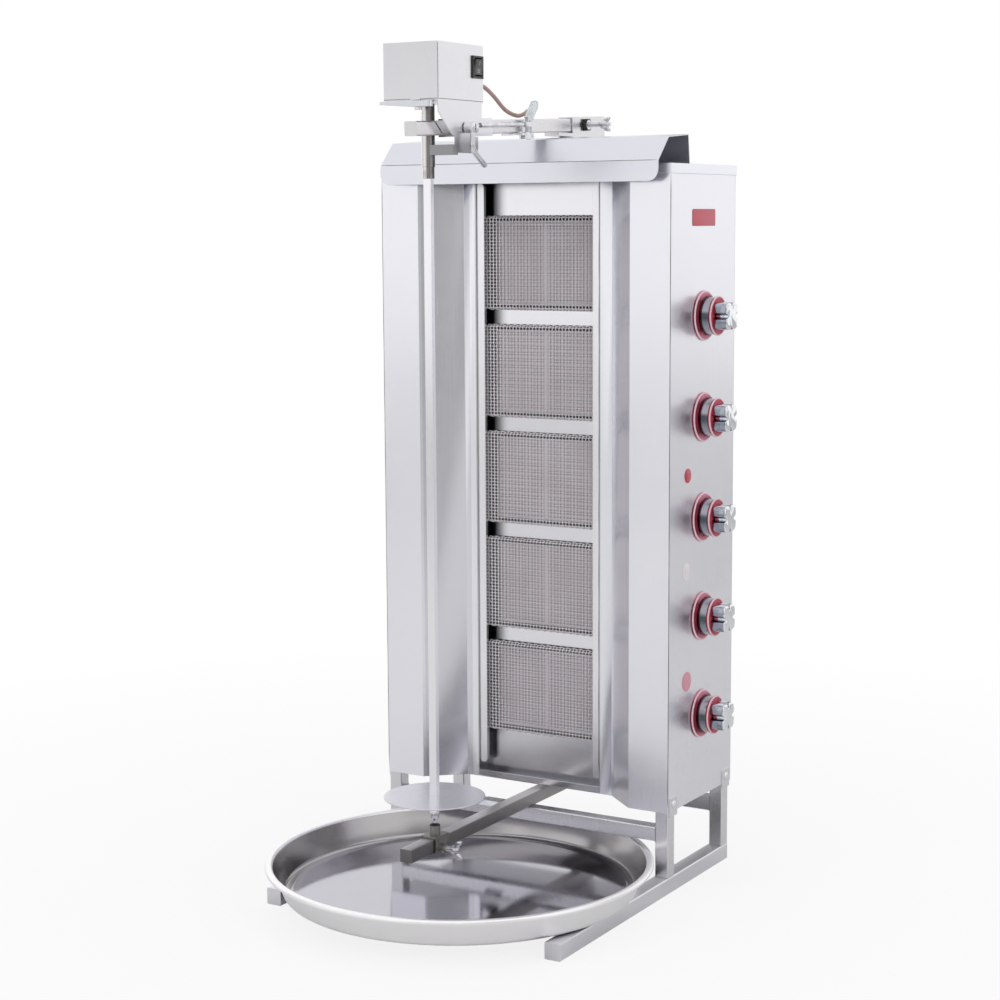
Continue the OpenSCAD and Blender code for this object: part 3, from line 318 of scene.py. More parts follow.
# The plug: a flat moulded two-pin plug with a tapered sleeve, lying beside the coil.
def rounded_outline(width, height, radius, count=6):
    """Points round a rectangle whose corners are quarter circles of the radius."""
    points = []
    for quarter, (x_side, y_side) in enumerate(((1, 1), (-1, 1), (-1, -1), (1, -1))):
        for a in np.radians(np.linspace(90 * quarter, 90 * quarter + 90, count)):
            points.append((x_side * (width / 2 - radius) + radius * math.cos(a),
                           y_side * (height / 2 - radius) + radius * math.sin(a)))
    return np.array(points)


def lofted(name, rings):
    """Closed body through a list of rings, each an n x 3 array, capped at both ends."""
    return grid_object(name, np.array(rings), closed_u=True, cap=True)


plug_x, plug_y, plug_z = -0.200, 0.153, 0.010
steps = [(0.0, 3.5, 3.5, 3.4), (2, 4.4, 4.4, 4.2), (28, 6.2, 6.2, 5.8), (29, 12, 7, 5.9), (31, 15.6, 8.6, 6),
         (36, 17, 9.9, 5), (58, 17, 9.9, 5), (62.5, 16, 9.2, 5), (64, 14.5, 8, 5)]
rings = []
for at, half_w, half_h, radius in steps:
    outline = rounded_outline(2 * half_w / 1000, 2 * half_h / 1000, radius / 1000 * 0.98)
    rings.append(np.stack([plug_x + outline[:, 0], np.full(len(outline), plug_y - at / 1000),
                           plug_z + outline[:, 1]], 1))
plug_body = smooth(lofted("mains_plug", rings), 50)
black_rubber = mottled("black_rubber", (400, 3), (0.3, 0.012), (0.8, 0.03), rough=(0.3, 0.35),
                       bump=(0.0003, 0.5))
black_rubber.on(plug_body)
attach(plug_body, "stand")
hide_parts("plug")
for side in (-0.0095, 0.0095):
    line = np.array([[plug_x + side, plug_y - out, plug_z] for out in (0.063, 0.080, 0.0825, 0.083)])
    pin = tube_along(f"plug_pin_{'ab'[side > 0]}", line, np.array([2.4, 2.4, 1.6, 0.8]) / 1000, 20)
    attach(smooth(pin, 60), "stand")

# A wire tie holds the coil together on its far side.
tie_angle = np.linspace(0, 2 * np.pi, 28, endpoint=False)
tie_mid = coil_centre + np.array([0.0345, 0, coil_layer / 2])
tie_line = tie_mid + np.stack([0.0135 * np.cos(tie_angle), np.zeros(28), 0.0072 * np.sin(tie_angle)], 1)
tie_flat = []
for k, a in enumerate(tie_angle):
    out = np.array([math.cos(a), 0, math.sin(a)])
    tie_flat.append([tie_line[k] + out * s + np.array([0, w, 0])
                     for s, w in ((0, -0.0022), (0, 0.0022), (0.0009, 0.0022), (0.0009, -0.0022))])
tie_flat = np.maximum(np.array(tie_flat), [-9, -9, 0.0002])
cord_tie = smooth(grid_object("cord_tie", tie_flat, closed_u=True, closed_v=True))
black_rubber.on(cord_tie)
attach(cord_tie, "stand")

# The stand: two square skid tubes on the floor, four posts and two cross rails, all brushed stainless
# tube welded together. The panels, wings, cap and hood are folded stainless sheet. Their edges are
# eased a little, as a press brake and a deburring wheel leave them.
def softened(name, width, segments=2, angle=32):
    """A copy of a CAD node with its doubles merged and its flat faces joined, whose edges that turn by
    more than the angle get a bevel of the width, in millimetres. Its face attribute "facing_down" is how
    far each face's normal points down."""
    work = bmesh.new()
    work.from_mesh(nodes[name].data)
    bmesh.ops.remove_doubles(work, verts=work.verts, dist=2e-6)
    bmesh.ops.dissolve_limit(work, angle_limit=math.radians(1), verts=work.verts, edges=work.edges)
    mesh = bpy.data.meshes.new(name + "_shown")
    work.to_mesh(mesh)
    work.free()
    obj = bpy.data.objects.new(name + "_shown", mesh)
    scene.collection.objects.link(obj)
    facing = mesh.attributes.new("facing_down", "FLOAT", "FACE")
    facing.data.foreach_set("value", np.array([-face.normal.z for face in mesh.polygons], np.float32))
    smooth(obj, 30)
    if width:
        edge = obj.modifiers.new("edges", "BEVEL")
        edge.width, edge.segments, edge.limit_method = width / 1000, segments, "ANGLE"
        edge.angle_limit, edge.harden_normals = math.radians(angle), True
    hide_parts(name)
    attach(obj, nodes[name]["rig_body"])
    return obj


def brushed(name, tone, along, rough=0.3, cool=0.02, low_shade=None, shape=None, grainy=1.0):
    """Brushed stainless: a fine grain drawn out along one axis, slow clouds in tone and roughness, and
    handling marks. grainy is how strong the grain is; a painted shade below a height, as (height in metres,
    share of tone left), darkens it towards the bottom; and shape gives one more share of the tone from the
    material's own coordinates, which paints light and shade where it is given."""
    steel = Finish(name, Metallic=1.0)
    stretch = [260, 260, 260]
    stretch["XYZ".index(along)] = 3
    grain = steel.noise(steel.place(tuple(stretch)), 4, 4, 0.6)
    cloud = steel.noise(steel.place(), 5, 3, 0.55)
    marks = steel.noise(steel.place(), 38, 5, 0.7, 0.6)
    shade = cloud * 0.06 + grain * (0.05 * grainy) + marks * 0.02 + (tone - 0.04 - 0.025 * grainy)
    if low_shade:
        height = steel.parts(steel.place())[2]
        shade = shade * steel.ramp(height / 0.4, (0, low_shade[1]), (min(low_shade[0] / 0.4, 0.999), 1))
    if shape:
        shade = shade * shape(steel)
    warm = 0.004 - cool * 0.5
    light = steel.node("ShaderNodeCombineColor", {}, {
        0: shade * (1 + warm), 1: shade * 0.985, 2: shade * (1 + cool)})
    steel.give("Base Color", light)
    steel.give("Roughness", grain * (0.12 * grainy) + marks * 0.08 + cloud * 0.06
               + (rough - 0.07 - 0.06 * grainy))
    steel.bump(grain * 0.7 + marks * 0.3, 0.00006, 0.35 * grainy)
    return steel


tube_steel_y = brushed("tube_steel_lengthways", 0.84, "Y", 0.30, 0.03, grainy=0.5)
tube_steel_z = brushed("tube_steel_upright", 0.78, "Z", 0.26, 0.02, grainy=0.5)
tube_steel_x = brushed("tube_steel_across", 0.80, "X", 0.28, 0.03, grainy=0.4)
tube_steel_y.on(softened("skid_left", 0.5), softened("skid_right", 0.5))
tube_steel_z.on(softened("frame_posts", 0.5))
tube_steel_x.on(softened("cross_rails", 0.5))

# Weld beads where the posts stand on the skids and where the rails meet the posts: a row of small
# overlapping ripples, ground back a little and slightly blued by the heat.
bead_metal = mottled("weld_bead", (180, 4), (0.3, (0.42, 0.38, 0.36)), (0.7, (0.62, 0.62, 0.64)),
                     bump=(0.0004, 0.6), Metallic=1.0, Roughness=0.35)


def weld_bead(name, start, end, radius=0.9):
    """A bead from start to end, in millimetres: its radius swells and shrinks along it, one ripple a
    millimetre and a half."""
    line = np.linspace(start, end, 60) / 1000
    length = np.linalg.norm(np.subtract(end, start))
    ripple = radius / 1000 * (1 + 0.18 * np.sin(np.linspace(0, 2 * np.pi * length / 1.6, 60)))
    ripple[[0, -1]] *= 0.3
    piece = smooth(tube_along(name, line, ripple, 8, (0.3, 0.5, 0.8)), 80)
    bead_metal.on(piece)
    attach(piece, "stand")


for side in (-1, 1):
    label = "right" if side > 0 else "left"
    for where, y0, y1 in (("front", 2, 24), ("rear", 193, 215)):
        for edge, y in (("a", y0 - 0.2), ("b", y1 + 0.2)):
            if y < 215:
                weld_bead(f"post_weld_{label}_{where}_{edge}", (side * 229, y, 25.3), (side * 249, y, 25.3))
        for edge, z in (("low", 79.8), ("high", 102.2)):
            weld_bead(f"rail_weld_{label}_{where}_{edge}", (side * 227.8, y0 + 1, z),
                      (side * 227.8, y1 - 1, z))

# Outer panels of the body. The front strips and wings are brighter rolled sheet, the sides are brushed
# from top to bottom.
# Painted shade: the side panels darken below 0.34 m.
panel_steel = brushed("panel_steel", 0.93, "Z", 0.30, 0.04, low_shade=(0.34, 0.88))


def wing_shade(steel):
    """Share of the tone, painted shade: the left wing's reflector face is painted a little darker than the
    rest.
    """
    across, back = steel.parts(steel.place())[:2]
    return 1 - (across < -0.12) * (back > 0.003) * 0.14


wing_steel = brushed("wing_steel", 0.96, "Z", 0.24, 0.045, shape=wing_shade)


def fold_light_and_shade(steel):
    """Share of the tone, painted light and shade: the strip in front is lightest, the slope painted darker,
    and the underside painted dark.
    """
    up = steel.parts(steel.place())[2]
    down = steel.node("ShaderNodeAttribute", {"attribute_name": "facing_down"}, {}, "Fac")
    return (1 - (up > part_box("top_cap")[1].z + 0.0042) * 0.20) * (1 - (down > 0.2) * 0.55)


cap_steel = brushed("cap_steel", 0.95, "X", 0.32, 0.06, shape=fold_light_and_shade)
back_steel = brushed("back_steel", 0.78, "Z", 0.36, 0.02)
panel_steel.on(softened("side_panel_left", 0.35), softened("side_panel_right", 0.35))
wing_steel.on(softened("wing_left", 0.4), softened("wing_right", 0.4))
cap_steel.on(softened("top_cap", 0.5), softened("hood", 0.45))
back_steel.on(softened("back_panel", 0.35), softened("bottom_plate", 0.3))

# The burner channel: a smooth polished plate with two bright rails in front. The plate is painted with shade
# beside its left wall, and plate and rails darker towards the bottom. Black and grey beads beside the rails
# and under the hood are painted shade lines.
channel_low, channel_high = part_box("burner_channel")
wall_at, plate_y = channel_high.x - 0.0015, channel_high.y - 0.0015


def channel_light_and_shade(steel):
    """Share of the tone left, painted shade: hardly any on the plate beside the left wall, rising over 45 mm
    to all of it. Low down this painted shade ends, and the channel's floor is painted lighter, with more than
    all."""
    across, back, up = steel.parts(steel.place())
    wall_shade = steel.ramp(across * -5, *[((wall_at - inside) * 5, share) for inside, share in (
        (0.045, 1), (0.0396, 0.9), (0.0358, 0.76), (0.032, 0.54), (0.0283, 0.35), (0.0246, 0.21),
        (0.0209, 0.12), (0.0134, 0.09), (0.001, 0.06), (0.0006, 0.75))])
    wall_shade = wall_shade + (1 - wall_shade) * steel.ramp(up / 0.4, (0.47, 0.8), (0.53, 0))
    floor_light = (up < channel_low.z + 0.003) * (back > channel_low.y + 0.003)
    return wall_shade * (1 + floor_light * 0.5)


channel_steel = brushed("channel_steel", 0.90, "Z", 0.19, 0.03, low_shade=(0.32, 0.45), shape=channel_light_and_shade, grainy=0.3)
channel_steel.on(softened("burner_channel", 0.3))
rail_steel = brushed("rail_steel", 0.94, "Z", 0.24, 0.02, low_shade=(0.30, 0.7))
rail_steel.on(softened("mesh_rails", 0.8))
shade_line_black = mottled("shade_line_black", (150, 3), (0.3, (0.012, 0.011, 0.013)), (0.8, (0.03, 0.028, 0.03)),
                     bump=(0.0003, 0.5), Roughness=0.7)
rail_shade_grey = brushed("rail_shade_grey", 0.50, "Z", 0.5, 0.02)
rail_low, rail_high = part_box("mesh_rails")


def bead(name, start, end, radius, paint=shade_line_black, body="stand"):
    """A straight bead, round in section, from start to end in metres; its radius swells by a tenth."""
    line = np.linspace(start, end, 40)
    swell = radius * (1 + 0.1 * np.sin(np.linspace(0, 60, 40)))
    swell[[0, -1]] *= 0.3
    piece = smooth(tube_along(name, line, swell, 8, (0.4, 0.5, 0.7)), 80)
    paint.on(piece)
    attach(piece, body)


# Painted shade lines: a black bead in the right corner beside the rail and one under the hood's edge, a grey
# one in the left corner.
for side in (-1, 1):
    x = side * (wall_at - 0.0004)
    y = rail_low.y - side * 0.0006
    label, radius, paint = ("right", 0.0020, shade_line_black) if side > 0 else ("left", 0.0010, rail_shade_grey)
    bead(f"rail_shade_line_{label}", (x, y, rail_low.z + 0.004), (x, y, rail_high.z + 0.0185), radius, paint)
bead("hood_shade_line", (-wall_at, rail_low.y - 0.0012, rail_high.z + 0.019),
     (wall_at, rail_low.y - 0.0012, rail_high.z + 0.019), 0.0017)
# Grey beads down the body's front corners and along the hood's fold and hem are painted shade lines.
shade_line_grey = brushed("shade_line_grey", 0.22, "Z", 0.5, 0.02)
for side in (-1, 1):
    bead(f"corner_shade_line_{'right' if side > 0 else 'left'}", (side * 0.25, 0.0003, 0.135),
         (side * 0.25, 0.0003, 1.072), 0.0006, shade_line_grey)
hood_low, hood_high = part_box("hood")
fold_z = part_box("top_cap")[1].z + 0.004
hem_z = hood_low.z + 0.0004
for name, inset, out, z, radius in (("hood_fold", 0.001, 0.0002, fold_z, 0.0005),
                                    ("hood_hem", 0.018, 0.0008, hem_z, 0.0007)):
    bead(name, (hood_low.x + inset, hood_low.y + out, z), (hood_high.x - inset, hood_low.y + out, z), radius,
         shade_line_grey)

# Blind rivets along the edges of the back panel, with their pin holes.
rivet_metal = mottled("rivet_metal", (300, 3), (0.3, 0.55), (0.8, 0.75), Metallic=1.0, Roughness=0.32)


def turned(name, profile, sides=32, axis="Z", at=(0, 0, 0), caps=True):
    """A turned piece: each (radius, height) of the profile is a ring round the axis, and a radius of
    nothing closes the piece. Millimetres."""
    profile = np.array(profile, float)
    profile[:, 0] = np.maximum(profile[:, 0], 1e-3)
    turn = np.linspace(0, 2 * np.pi, sides, endpoint=False)
    ring = np.stack([profile[:, :1] * np.cos(turn), profile[:, :1] * np.sin(turn),
                     np.repeat(profile[:, 1:], sides, 1)], -1)
    if axis == "X":
        ring = ring[..., [2, 0, 1]]
    elif axis == "Y":
        ring = ring[..., [1, 2, 0]]
    return grid_object(name, (ring + np.array(at)) / 1000, closed_u=True, closed_v=not caps, cap=caps)


rivet_profile = [(0, 2), (0.9, 2), (1.0, 1.0), (1.6, 1.0), (1.8, 1.4), (2.6, 1.2), (3.1, 0.5), (3.2, 0)]
rivets = [(x, z) for z in np.linspace(160, 1060, 7) for x in (-242, 242)]
rivets += [(x, 1066) for x in np.linspace(-160, 160, 3)]
for k, (x, z) in enumerate(rivets):
    rivet = smooth(turned(f"rivet_{k + 1}", rivet_profile[::-1], 20, "Y", (x, 224, z)), 40)
    rivet_metal.on(rivet)
    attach(rivet, "stand")

# Bare plates on the right side: a red enamelled one near the top, and a red, a pale and a pink round one
# below it. They carry nothing.
red_enamel = mottled("red_enamel", (90, 3), (0.3, (0.50, 0.02, 0.06)), (0.8, (0.62, 0.04, 0.09)),
                     rough=(0.2, 0.25), Metallic=0.0, Coat_Weight=0.4)
pale_enamel = mottled("pale_enamel", (90, 3), (0.3, (0.84, 0.78, 0.80)), (0.8, (0.90, 0.85, 0.87)),
                      Roughness=0.35)
pink_enamel = mottled("pink_enamel", (90, 3), (0.3, (0.68, 0.28, 0.36)), (0.8, (0.76, 0.36, 0.44)),
                      Roughness=0.35)


def bare_plate(name, outline, y, z, paint, edge_x=250.05, thick=0.5):
    """A thin plate on the side panel: the outline, slightly smaller towards its face, is carried out
    from the panel. Millimetres."""
    rings = []
    for out, share in ((0, 1.0), (thick * 0.7, 1.0), (thick, 0.97)):
        rings.append(np.stack([np.full(len(outline), edge_x + out), y + outline[:, 0] * share,
                               z + outline[:, 1] * share], 1) / 1000)
    plate = smooth(lofted(name, rings), 40)
    paint.on(plate)
    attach(plate, "stand")


bare_plate("plate_upper", rounded_outline(79, 25, 3), 111.5, 1010.5, red_enamel)
disc_turn = np.linspace(0, 2 * np.pi, 40, endpoint=False)
round_outline = np.stack([np.cos(disc_turn), np.sin(disc_turn)], 1)
for label, y, z, radius, paint in (("a", 62, 629, 11, red_enamel), ("b", 59, 484, 13, pale_enamel),
                                   ("c", 62, 316, 15, pink_enamel)):
    bare_plate(f"plate_round_{label}", round_outline * radius, y, z, paint)

# The burners: five trays of woven wire in front of ten perforated ceramic plaques, which sit in sheet
# boxes behind the face plate. The wire is heat-resistant steel, pale, with slow clouds from firing.
tray_w, tray_h, pitch_x, pitch_z, wire_r = 0.2, 0.147, 0.0058, 0.0051, 0.00095
tray_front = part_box("mesh_trays")[0].y
tray_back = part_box("mesh_trays")[1].y
burner_heights = [0.9425 - 0.167 * k for k in range(5)]
wire_metal = mottled("mesh_wire", (14, 4, 0.6), (0.25, (0.82, 0.77, 0.80)), (0.6, (0.92, 0.88, 0.91)),
                     (0.85, (0.96, 0.94, 0.97)), rough=(0.2, 0.3), Metallic=0.6)


def woven_wires(path, across, over_first):
    """One wire of a woven mesh as rings of points: it follows the path of crossing places, and swings out
    by a wire's radius at each, to one side and the other in turn. The rings have four points and stand on
    the plane square to the path."""
    path = np.asarray(path, float)
    fine = np.repeat(path, 2, 0)[:-1]
    fine[1::2] = (path[1:] + path[:-1]) / 2
    swing = np.cos(np.arange(len(fine)) * np.pi / 2 + (0 if over_first else np.pi))
    step = np.gradient(fine, axis=0)
    step /= np.linalg.norm(step, axis=1, keepdims=True)
    side = np.broadcast_to(np.asarray(across, float), fine.shape)
    out = np.cross(step, side)
    centre = fine + out * (swing * wire_r * 0.95)[:, None]
    turn = (np.arange(4) + 0.5) * np.pi / 2
    return (centre[:, None] + wire_r * (np.cos(turn)[None, :, None] * side[:, None]
                                        + np.sin(turn)[None, :, None] * out[:, None]))


def wire_tray(name, height):
    """A tray of woven wire: upright wires and level wires, each kind at its own pitch, cross on the front,
    and both are bent back round the tray's edges to its back."""
    depth = tray_back - tray_front - 0.002
    y = tray_front + wire_r * 2
    nx, nz = int(tray_w / pitch_x), int(tray_h / pitch_z)
    xs = (np.arange(nx) - (nx - 1) / 2) * pitch_x
    zs = height + (np.arange(nz) - (nz - 1) / 2) * pitch_z
    half_x, half_z = tray_w / 2 - wire_r * 2.2, tray_h / 2 - wire_r * 2.2
    back = np.arange(1, int(depth / pitch_z) + 1) * pitch_z
    strips, faces, total = [], [], 0
    for k, x in enumerate(xs):
        path = ([(x, y + b, height + half_z) for b in back[::-1]] + [(x, y, z) for z in zs[::-1]]
                + [(x, y + b, height - half_z) for b in back])
        strips.append(woven_wires(path, (1, 0, 0), k % 2 == 0))
    for k, z in enumerate(zs):
        path = ([(-half_x, y + b, z) for b in back[::-1]] + [(x, y, z) for x in xs]
                + [(half_x, y + b, z) for b in back])
        strips.append(woven_wires(path, (0, 0, 1), k % 2 == 0))
    for k, b in enumerate(back):
        loop = ([(x, y + b, height + half_z) for x in xs] + [(half_x, y + b, z) for z in zs[::-1]]
                + [(x, y + b, height - half_z) for x in xs[::-1]] + [(-half_x, y + b, z) for z in zs])
        strips.append(woven_wires(loop, (0, 1, 0), k % 2 == 0))
    for strip in strips:
        rows, cols = strip.shape[:2]
        index = np.arange(rows * cols).reshape(rows, cols) + total
        index = np.concatenate([index, index[:, :1]], 1)
        quads = np.stack([index[:-1, :-1], index[:-1, 1:], index[1:, 1:], index[1:, :-1]], -1)
        faces.append(quads.reshape(-1, 4))
        faces += [index[[0], :cols][:, ::-1], index[[-1], :cols]]
        total += rows * cols
    mesh = bpy.data.meshes.new(name)
    mesh.from_pydata(np.concatenate([s.reshape(-1, 3) for s in strips]).tolist(), [],
                     np.concatenate(faces).tolist())
    mesh.update()
    obj = bpy.data.objects.new(name, mesh)
    scene.collection.objects.link(obj)
    obj.data.shade_smooth()
    wire_metal.on(obj)
    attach(obj, "stand")
    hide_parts("mesh_trays")


for k, height in enumerate(burner_heights):
    wire_tray(f"wire_tray_{k + 1}", height)

# A black frame lies round each window of the face plate, under the tray's edges: painted shade seen through
# the mesh's border, 7 mm wider on the left.
frame_in_x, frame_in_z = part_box("burner_plaques")[1].x - 0.0025, 0.0637
for k, height in enumerate(burner_heights):
    rows = []
    rim, window = (-0.0985, 0.0985, 0.0725), (0.007 - frame_in_x, frame_in_x, frame_in_z)
    for (left, right_end, half_z), out in ((rim, 0), (rim, 0.0012), (window, 0.0012), (window, 0)):
        rows.append([(x, plate_y - 0.0003 - out, height + half_z * b)
                     for x, b in ((left, -1), (right_end, -1), (right_end, 1), (left, 1))])
    tray_shade_frame = grid_object(f"gasket_{k + 1}", np.array(rows), closed_u=True, closed_v=True)
    shade_line_black.on(tray_shade_frame)
    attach(tray_shade_frame, "stand")

# Ceramic plaques: cream, darker where the flame has played, with rows of small flame holes painted dark as
# painted shade.
plaque = Finish("plaque_ceramic", Roughness=0.85)
x, y, z = plaque.parts(plaque.place())
cell_x, cell_z = (x / 0.0034).fract() - 0.5, (z / 0.0034).fract() - 0.5
hole = ((cell_x * cell_x + cell_z * cell_z).sqrt() < 0.26)
fired = plaque.noise(plaque.place(), 22, 4, 0.6)
clay = plaque.ramp(fired, (0.25, (0.72, 0.67, 0.69)), (0.7, (0.84, 0.79, 0.82)))
row = ((z - 0.859) / 0.167).fract() - 0.5
border = ((x.abs() < 0.0024) + (row.abs() > 0.0605 / 0.167)).clamp()
clay = plaque.mix(border, clay, (0.94, 0.94, 0.98))
plaque.give("Base Color", plaque.mix(hole * (1 - border), clay, (0.20, 0.18, 0.19)))
plaque.bump(1 - hole, 0.0008, 0.8)
plaque.on("burner_plaques")
box_steel = brushed("burner_box_steel", 0.30, "X", 0.4, 0.01)
box_steel.on("burner_housings")
brass = mottled("gas_brass", (40, 4), (0.3, (0.62, 0.45, 0.20)), (0.8, (0.80, 0.62, 0.32)),
                rough=(0.25, 0.2), Metallic=1.0)
brass.on("gas_valves")
brass.on(softened("gas_manifold", 0.3))
copper = mottled("feed_copper", (60, 4), (0.3, (0.55, 0.25, 0.15)), (0.8, (0.80, 0.42, 0.28)),
                 rough=(0.25, 0.2), Metallic=1.0)
copper.on("burner_pipes", "thermocouples")

# The gas inlet's thread: a ridge wound round the pipe's end.
inlet_end, inlet_x, inlet_z, ridge_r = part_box("gas_manifold")[1].y, 0.195, 0.19, 0.0099
thread_turn = np.linspace(0, 2 * np.pi * 8, 8 * 24)
thread_y = np.linspace(inlet_end - 0.0165, inlet_end - 0.002, len(thread_turn))
thread_line = np.stack([inlet_x + ridge_r * np.cos(thread_turn), thread_y,
                        inlet_z + ridge_r * np.sin(thread_turn)], 1)
thread = smooth(tube_along("inlet_thread", thread_line, 0.00055, 6, (0, 1, 0)), 60)
brass.on(thread)
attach(thread, "stand")

# Knobs: chromed bodies with a red ring and a four-lobed grip, on red flared dial plates. The grip's chrome
# is painted with a dark reflection across its lobes and painted shade at its foot. The grip's end is bare.
knob_y, panel_x, knob_top, knob_step = 114, 250, 865, 152


def above_knob(z):
    """Height above the middle of the nearest knob, in metres."""
    step = knob_step / 1000
    return (((z - (knob_top / 1000 - step / 2)) / step).fract() - 0.5) * step


chrome = mottled("knob_chrome", (30, 3), (0.3, (0.80, 0.81, 0.83)), (0.8, (0.90, 0.91, 0.93)),
                 rough=(0.12, 0.06), Metallic=1.0)
grip_chrome = Finish("grip_chrome", Metallic=1.0)
haze = grip_chrome.noise(grip_chrome.place(), 30, 3)
x, y, z = grip_chrome.parts(grip_chrome.place(centre=(panel_x / 1000, knob_y / 1000, 0)))
z = above_knob(z)
chrome_and_reflection = grip_chrome.ramp(haze, (0.3, (0.84, 0.85, 0.88)), (0.8, (0.94, 0.95, 0.97)))
# Painted reflection: dark blue across the grip's lobes, strongest mid-height; painted shade: near black in
# the grooves at the foot.
wave = grip_chrome.node("ShaderNodeAttribute", {"attribute_name": "swing"}, {}, "Fac")
dark_reflection = grip_chrome.ramp(wave, (0.0, 0.75), (0.03, 0.8), (0.12, 1.0), (0.75, 0.9), (0.93, 0))
dark_reflection = dark_reflection * grip_chrome.ramp(z / 0.06 + 0.5, (0.10, 0.15), (0.22, 0.9), (0.46, 1.0), (0.54, 0.95),
                               (0.78, 0.85), (0.88, 0.1))
chrome_and_reflection = grip_chrome.mix(dark_reflection * (x < 0.0452), chrome_and_reflection, (0.14, 0.17, 0.24))
foot_shade = (x < 0.0262) * (wave > 0.25)
chrome_and_reflection = grip_chrome.mix(foot_shade, chrome_and_reflection, (0.02, 0.02, 0.03))
grip_chrome.give("Base Color", chrome_and_reflection)
grip_chrome.give("Roughness", haze * 0.1 + 0.05)
shell_chrome = Finish("shell_chrome", Metallic=1.0)
haze = shell_chrome.noise(shell_chrome.place(), 30, 3)
z = above_knob(shell_chrome.parts(shell_chrome.place())[2])
# Painted reflection: dark and light bands round the shell by height.
reflection_bands = shell_chrome.ramp(z / 0.06 + 0.5, (0.08, (0.50, 0.51, 0.55)), (0.30, (0.30, 0.32, 0.35)),
                         (0.45, (0.12, 0.14, 0.16)), (0.56, (0.12, 0.14, 0.16)), (0.64, (0.42, 0.42, 0.45)),
                         (0.9, (0.34, 0.34, 0.37)))
shell_chrome.give("Base Color", reflection_bands)
shell_chrome.give("Roughness", haze * 0.15 + 0.10)
red_plastic = Finish("ring_red", Specular_IOR_Level=0.3)
tone = red_plastic.noise(red_plastic.place(), 120, 3)
x, y, z = red_plastic.parts(red_plastic.place())
z = above_knob(z)
deep = red_plastic.ramp(tone, (0.3, (0.13, 0.002, 0.016)), (0.8, (0.24, 0.004, 0.028)))
# Painted highlight: pale pink towards the top and bottom of each knob.
highlight_ends = red_plastic.ramp(z.abs() / 0.04, (0.55, 0), (0.78, 0.85))
deep = red_plastic.mix(x > 0.27, deep, (0.55, 0.05, 0.09))
red_plastic.give("Base Color", red_plastic.mix(highlight_ends, deep, (0.68, 0.22, 0.32)))
red_plastic.give("Roughness", tone * 0.15 + 0.3)
# Painted highlight: the pale pink of the rims.
rim_highlight = mottled("ring_edge_highlight", (200, 2), (0.3, (0.80, 0.58, 0.64)), (0.8, (0.90, 0.74, 0.80)),
                     Roughness=0.3)

# Each knob's turned pieces, as (radius, height off the panel): the chromed shell, the red ring and its pale
# edge turn with it, and the dial plate and its pale edge are fixed to the panel. Both pale edges are painted
# highlights.
shell_profile = [(0, 4.4), (25, 4.4), (27.6, 5.2), (28, 7), (28, 20), (26.5, 21.2), (0, 21.2)]
ring_profile = [(6, 20.9), (28.6, 20.9), (29.4, 21.8), (29.5, 23.2), (28.6, 24.4), (6, 24.2)]
edge_profile = [(27.9, 24.1), (28.9, 23.9), (29.4, 22.9), (29.9, 23.4), (29.5, 24.6), (27.9, 24.9)]
dial_profile = [(28.6, 0), (37.3, 0), (37.45, 1.4), (36.9, 2.3), (35.7, 2.2), (33.0, 6.0), (31.6, 6.5),
                (28.6, 5.4)]
dial_edge_profile = [(34.8, 2.6), (36.4, 2.2), (37.2, 1.2), (37.48, 2.0), (36.9, 3.0), (35.0, 3.3)]

# Their grips: a bar whose section is a square with round corners, |x|^5 + |y|^5 = 20.4^5, with a groove 8 mm
# deep down the middle of each side, its end rounded over.
grip_half, groove_depth, groove_half = 20.4, 8, 4.0
turn = np.linspace(0, 2 * np.pi, 192, endpoint=False)
square = grip_half / (np.abs(np.cos(turn)) ** 5 + np.abs(np.sin(turn)) ** 5) ** 0.2
near = (np.exp(-(square * np.sin(turn) / groove_half) ** 6)
        + np.exp(-(square * np.cos(turn) / groove_half) ** 6))
for k in range(5):
    z = knob_top - knob_step * k
    body = f"knob_{k + 1}"
    for label, profile, sides, caps, angle, paint, moves in (
            ("knob_body", shell_profile, 56, True, 40, shell_chrome, True),
            ("knob_ring", ring_profile, 56, False, 50, red_plastic, True),
            ("knob_edge", edge_profile, 56, False, 60, rim_highlight, True),
            ("dial_plate", dial_profile, 64, False, 50, red_plastic, False),
            ("dial_edge", dial_edge_profile, 64, False, 60, rim_highlight, False)):
        piece = turned(f"{label}_{k + 1}", profile[::-1], sides, "X", (panel_x, knob_y, z), caps)
        smooth(piece, angle)
        paint.on(piece)
        if moves:
            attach(piece, body)
            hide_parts(body)
        else:
            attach(piece, "stand")
            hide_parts("dial_plates")
    rings = []
    for out, share in ((24, 0.98), (25.5, 1.0), (43.5, 0.985), (45.6, 0.955), (46.7, 0.90), (47, 0.83)):
        r = (square - groove_depth * near) * share
        rings.append(np.stack([np.full(192, panel_x + out), knob_y + r * np.cos(turn),
                               z + r * np.sin(turn)], 1) / 1000)
    grip = smooth(lofted(f"knob_grip_{k + 1}", rings), 50)
    swing = grip.data.attributes.new("swing", "FLOAT", "POINT")
    swing.data.foreach_set("value", np.tile(near, len(rings)).astype(np.float32))
    grip_chrome.on(grip)
    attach(grip, body)
    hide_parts(body)
    chrome.on(f"stem_{k + 1}")

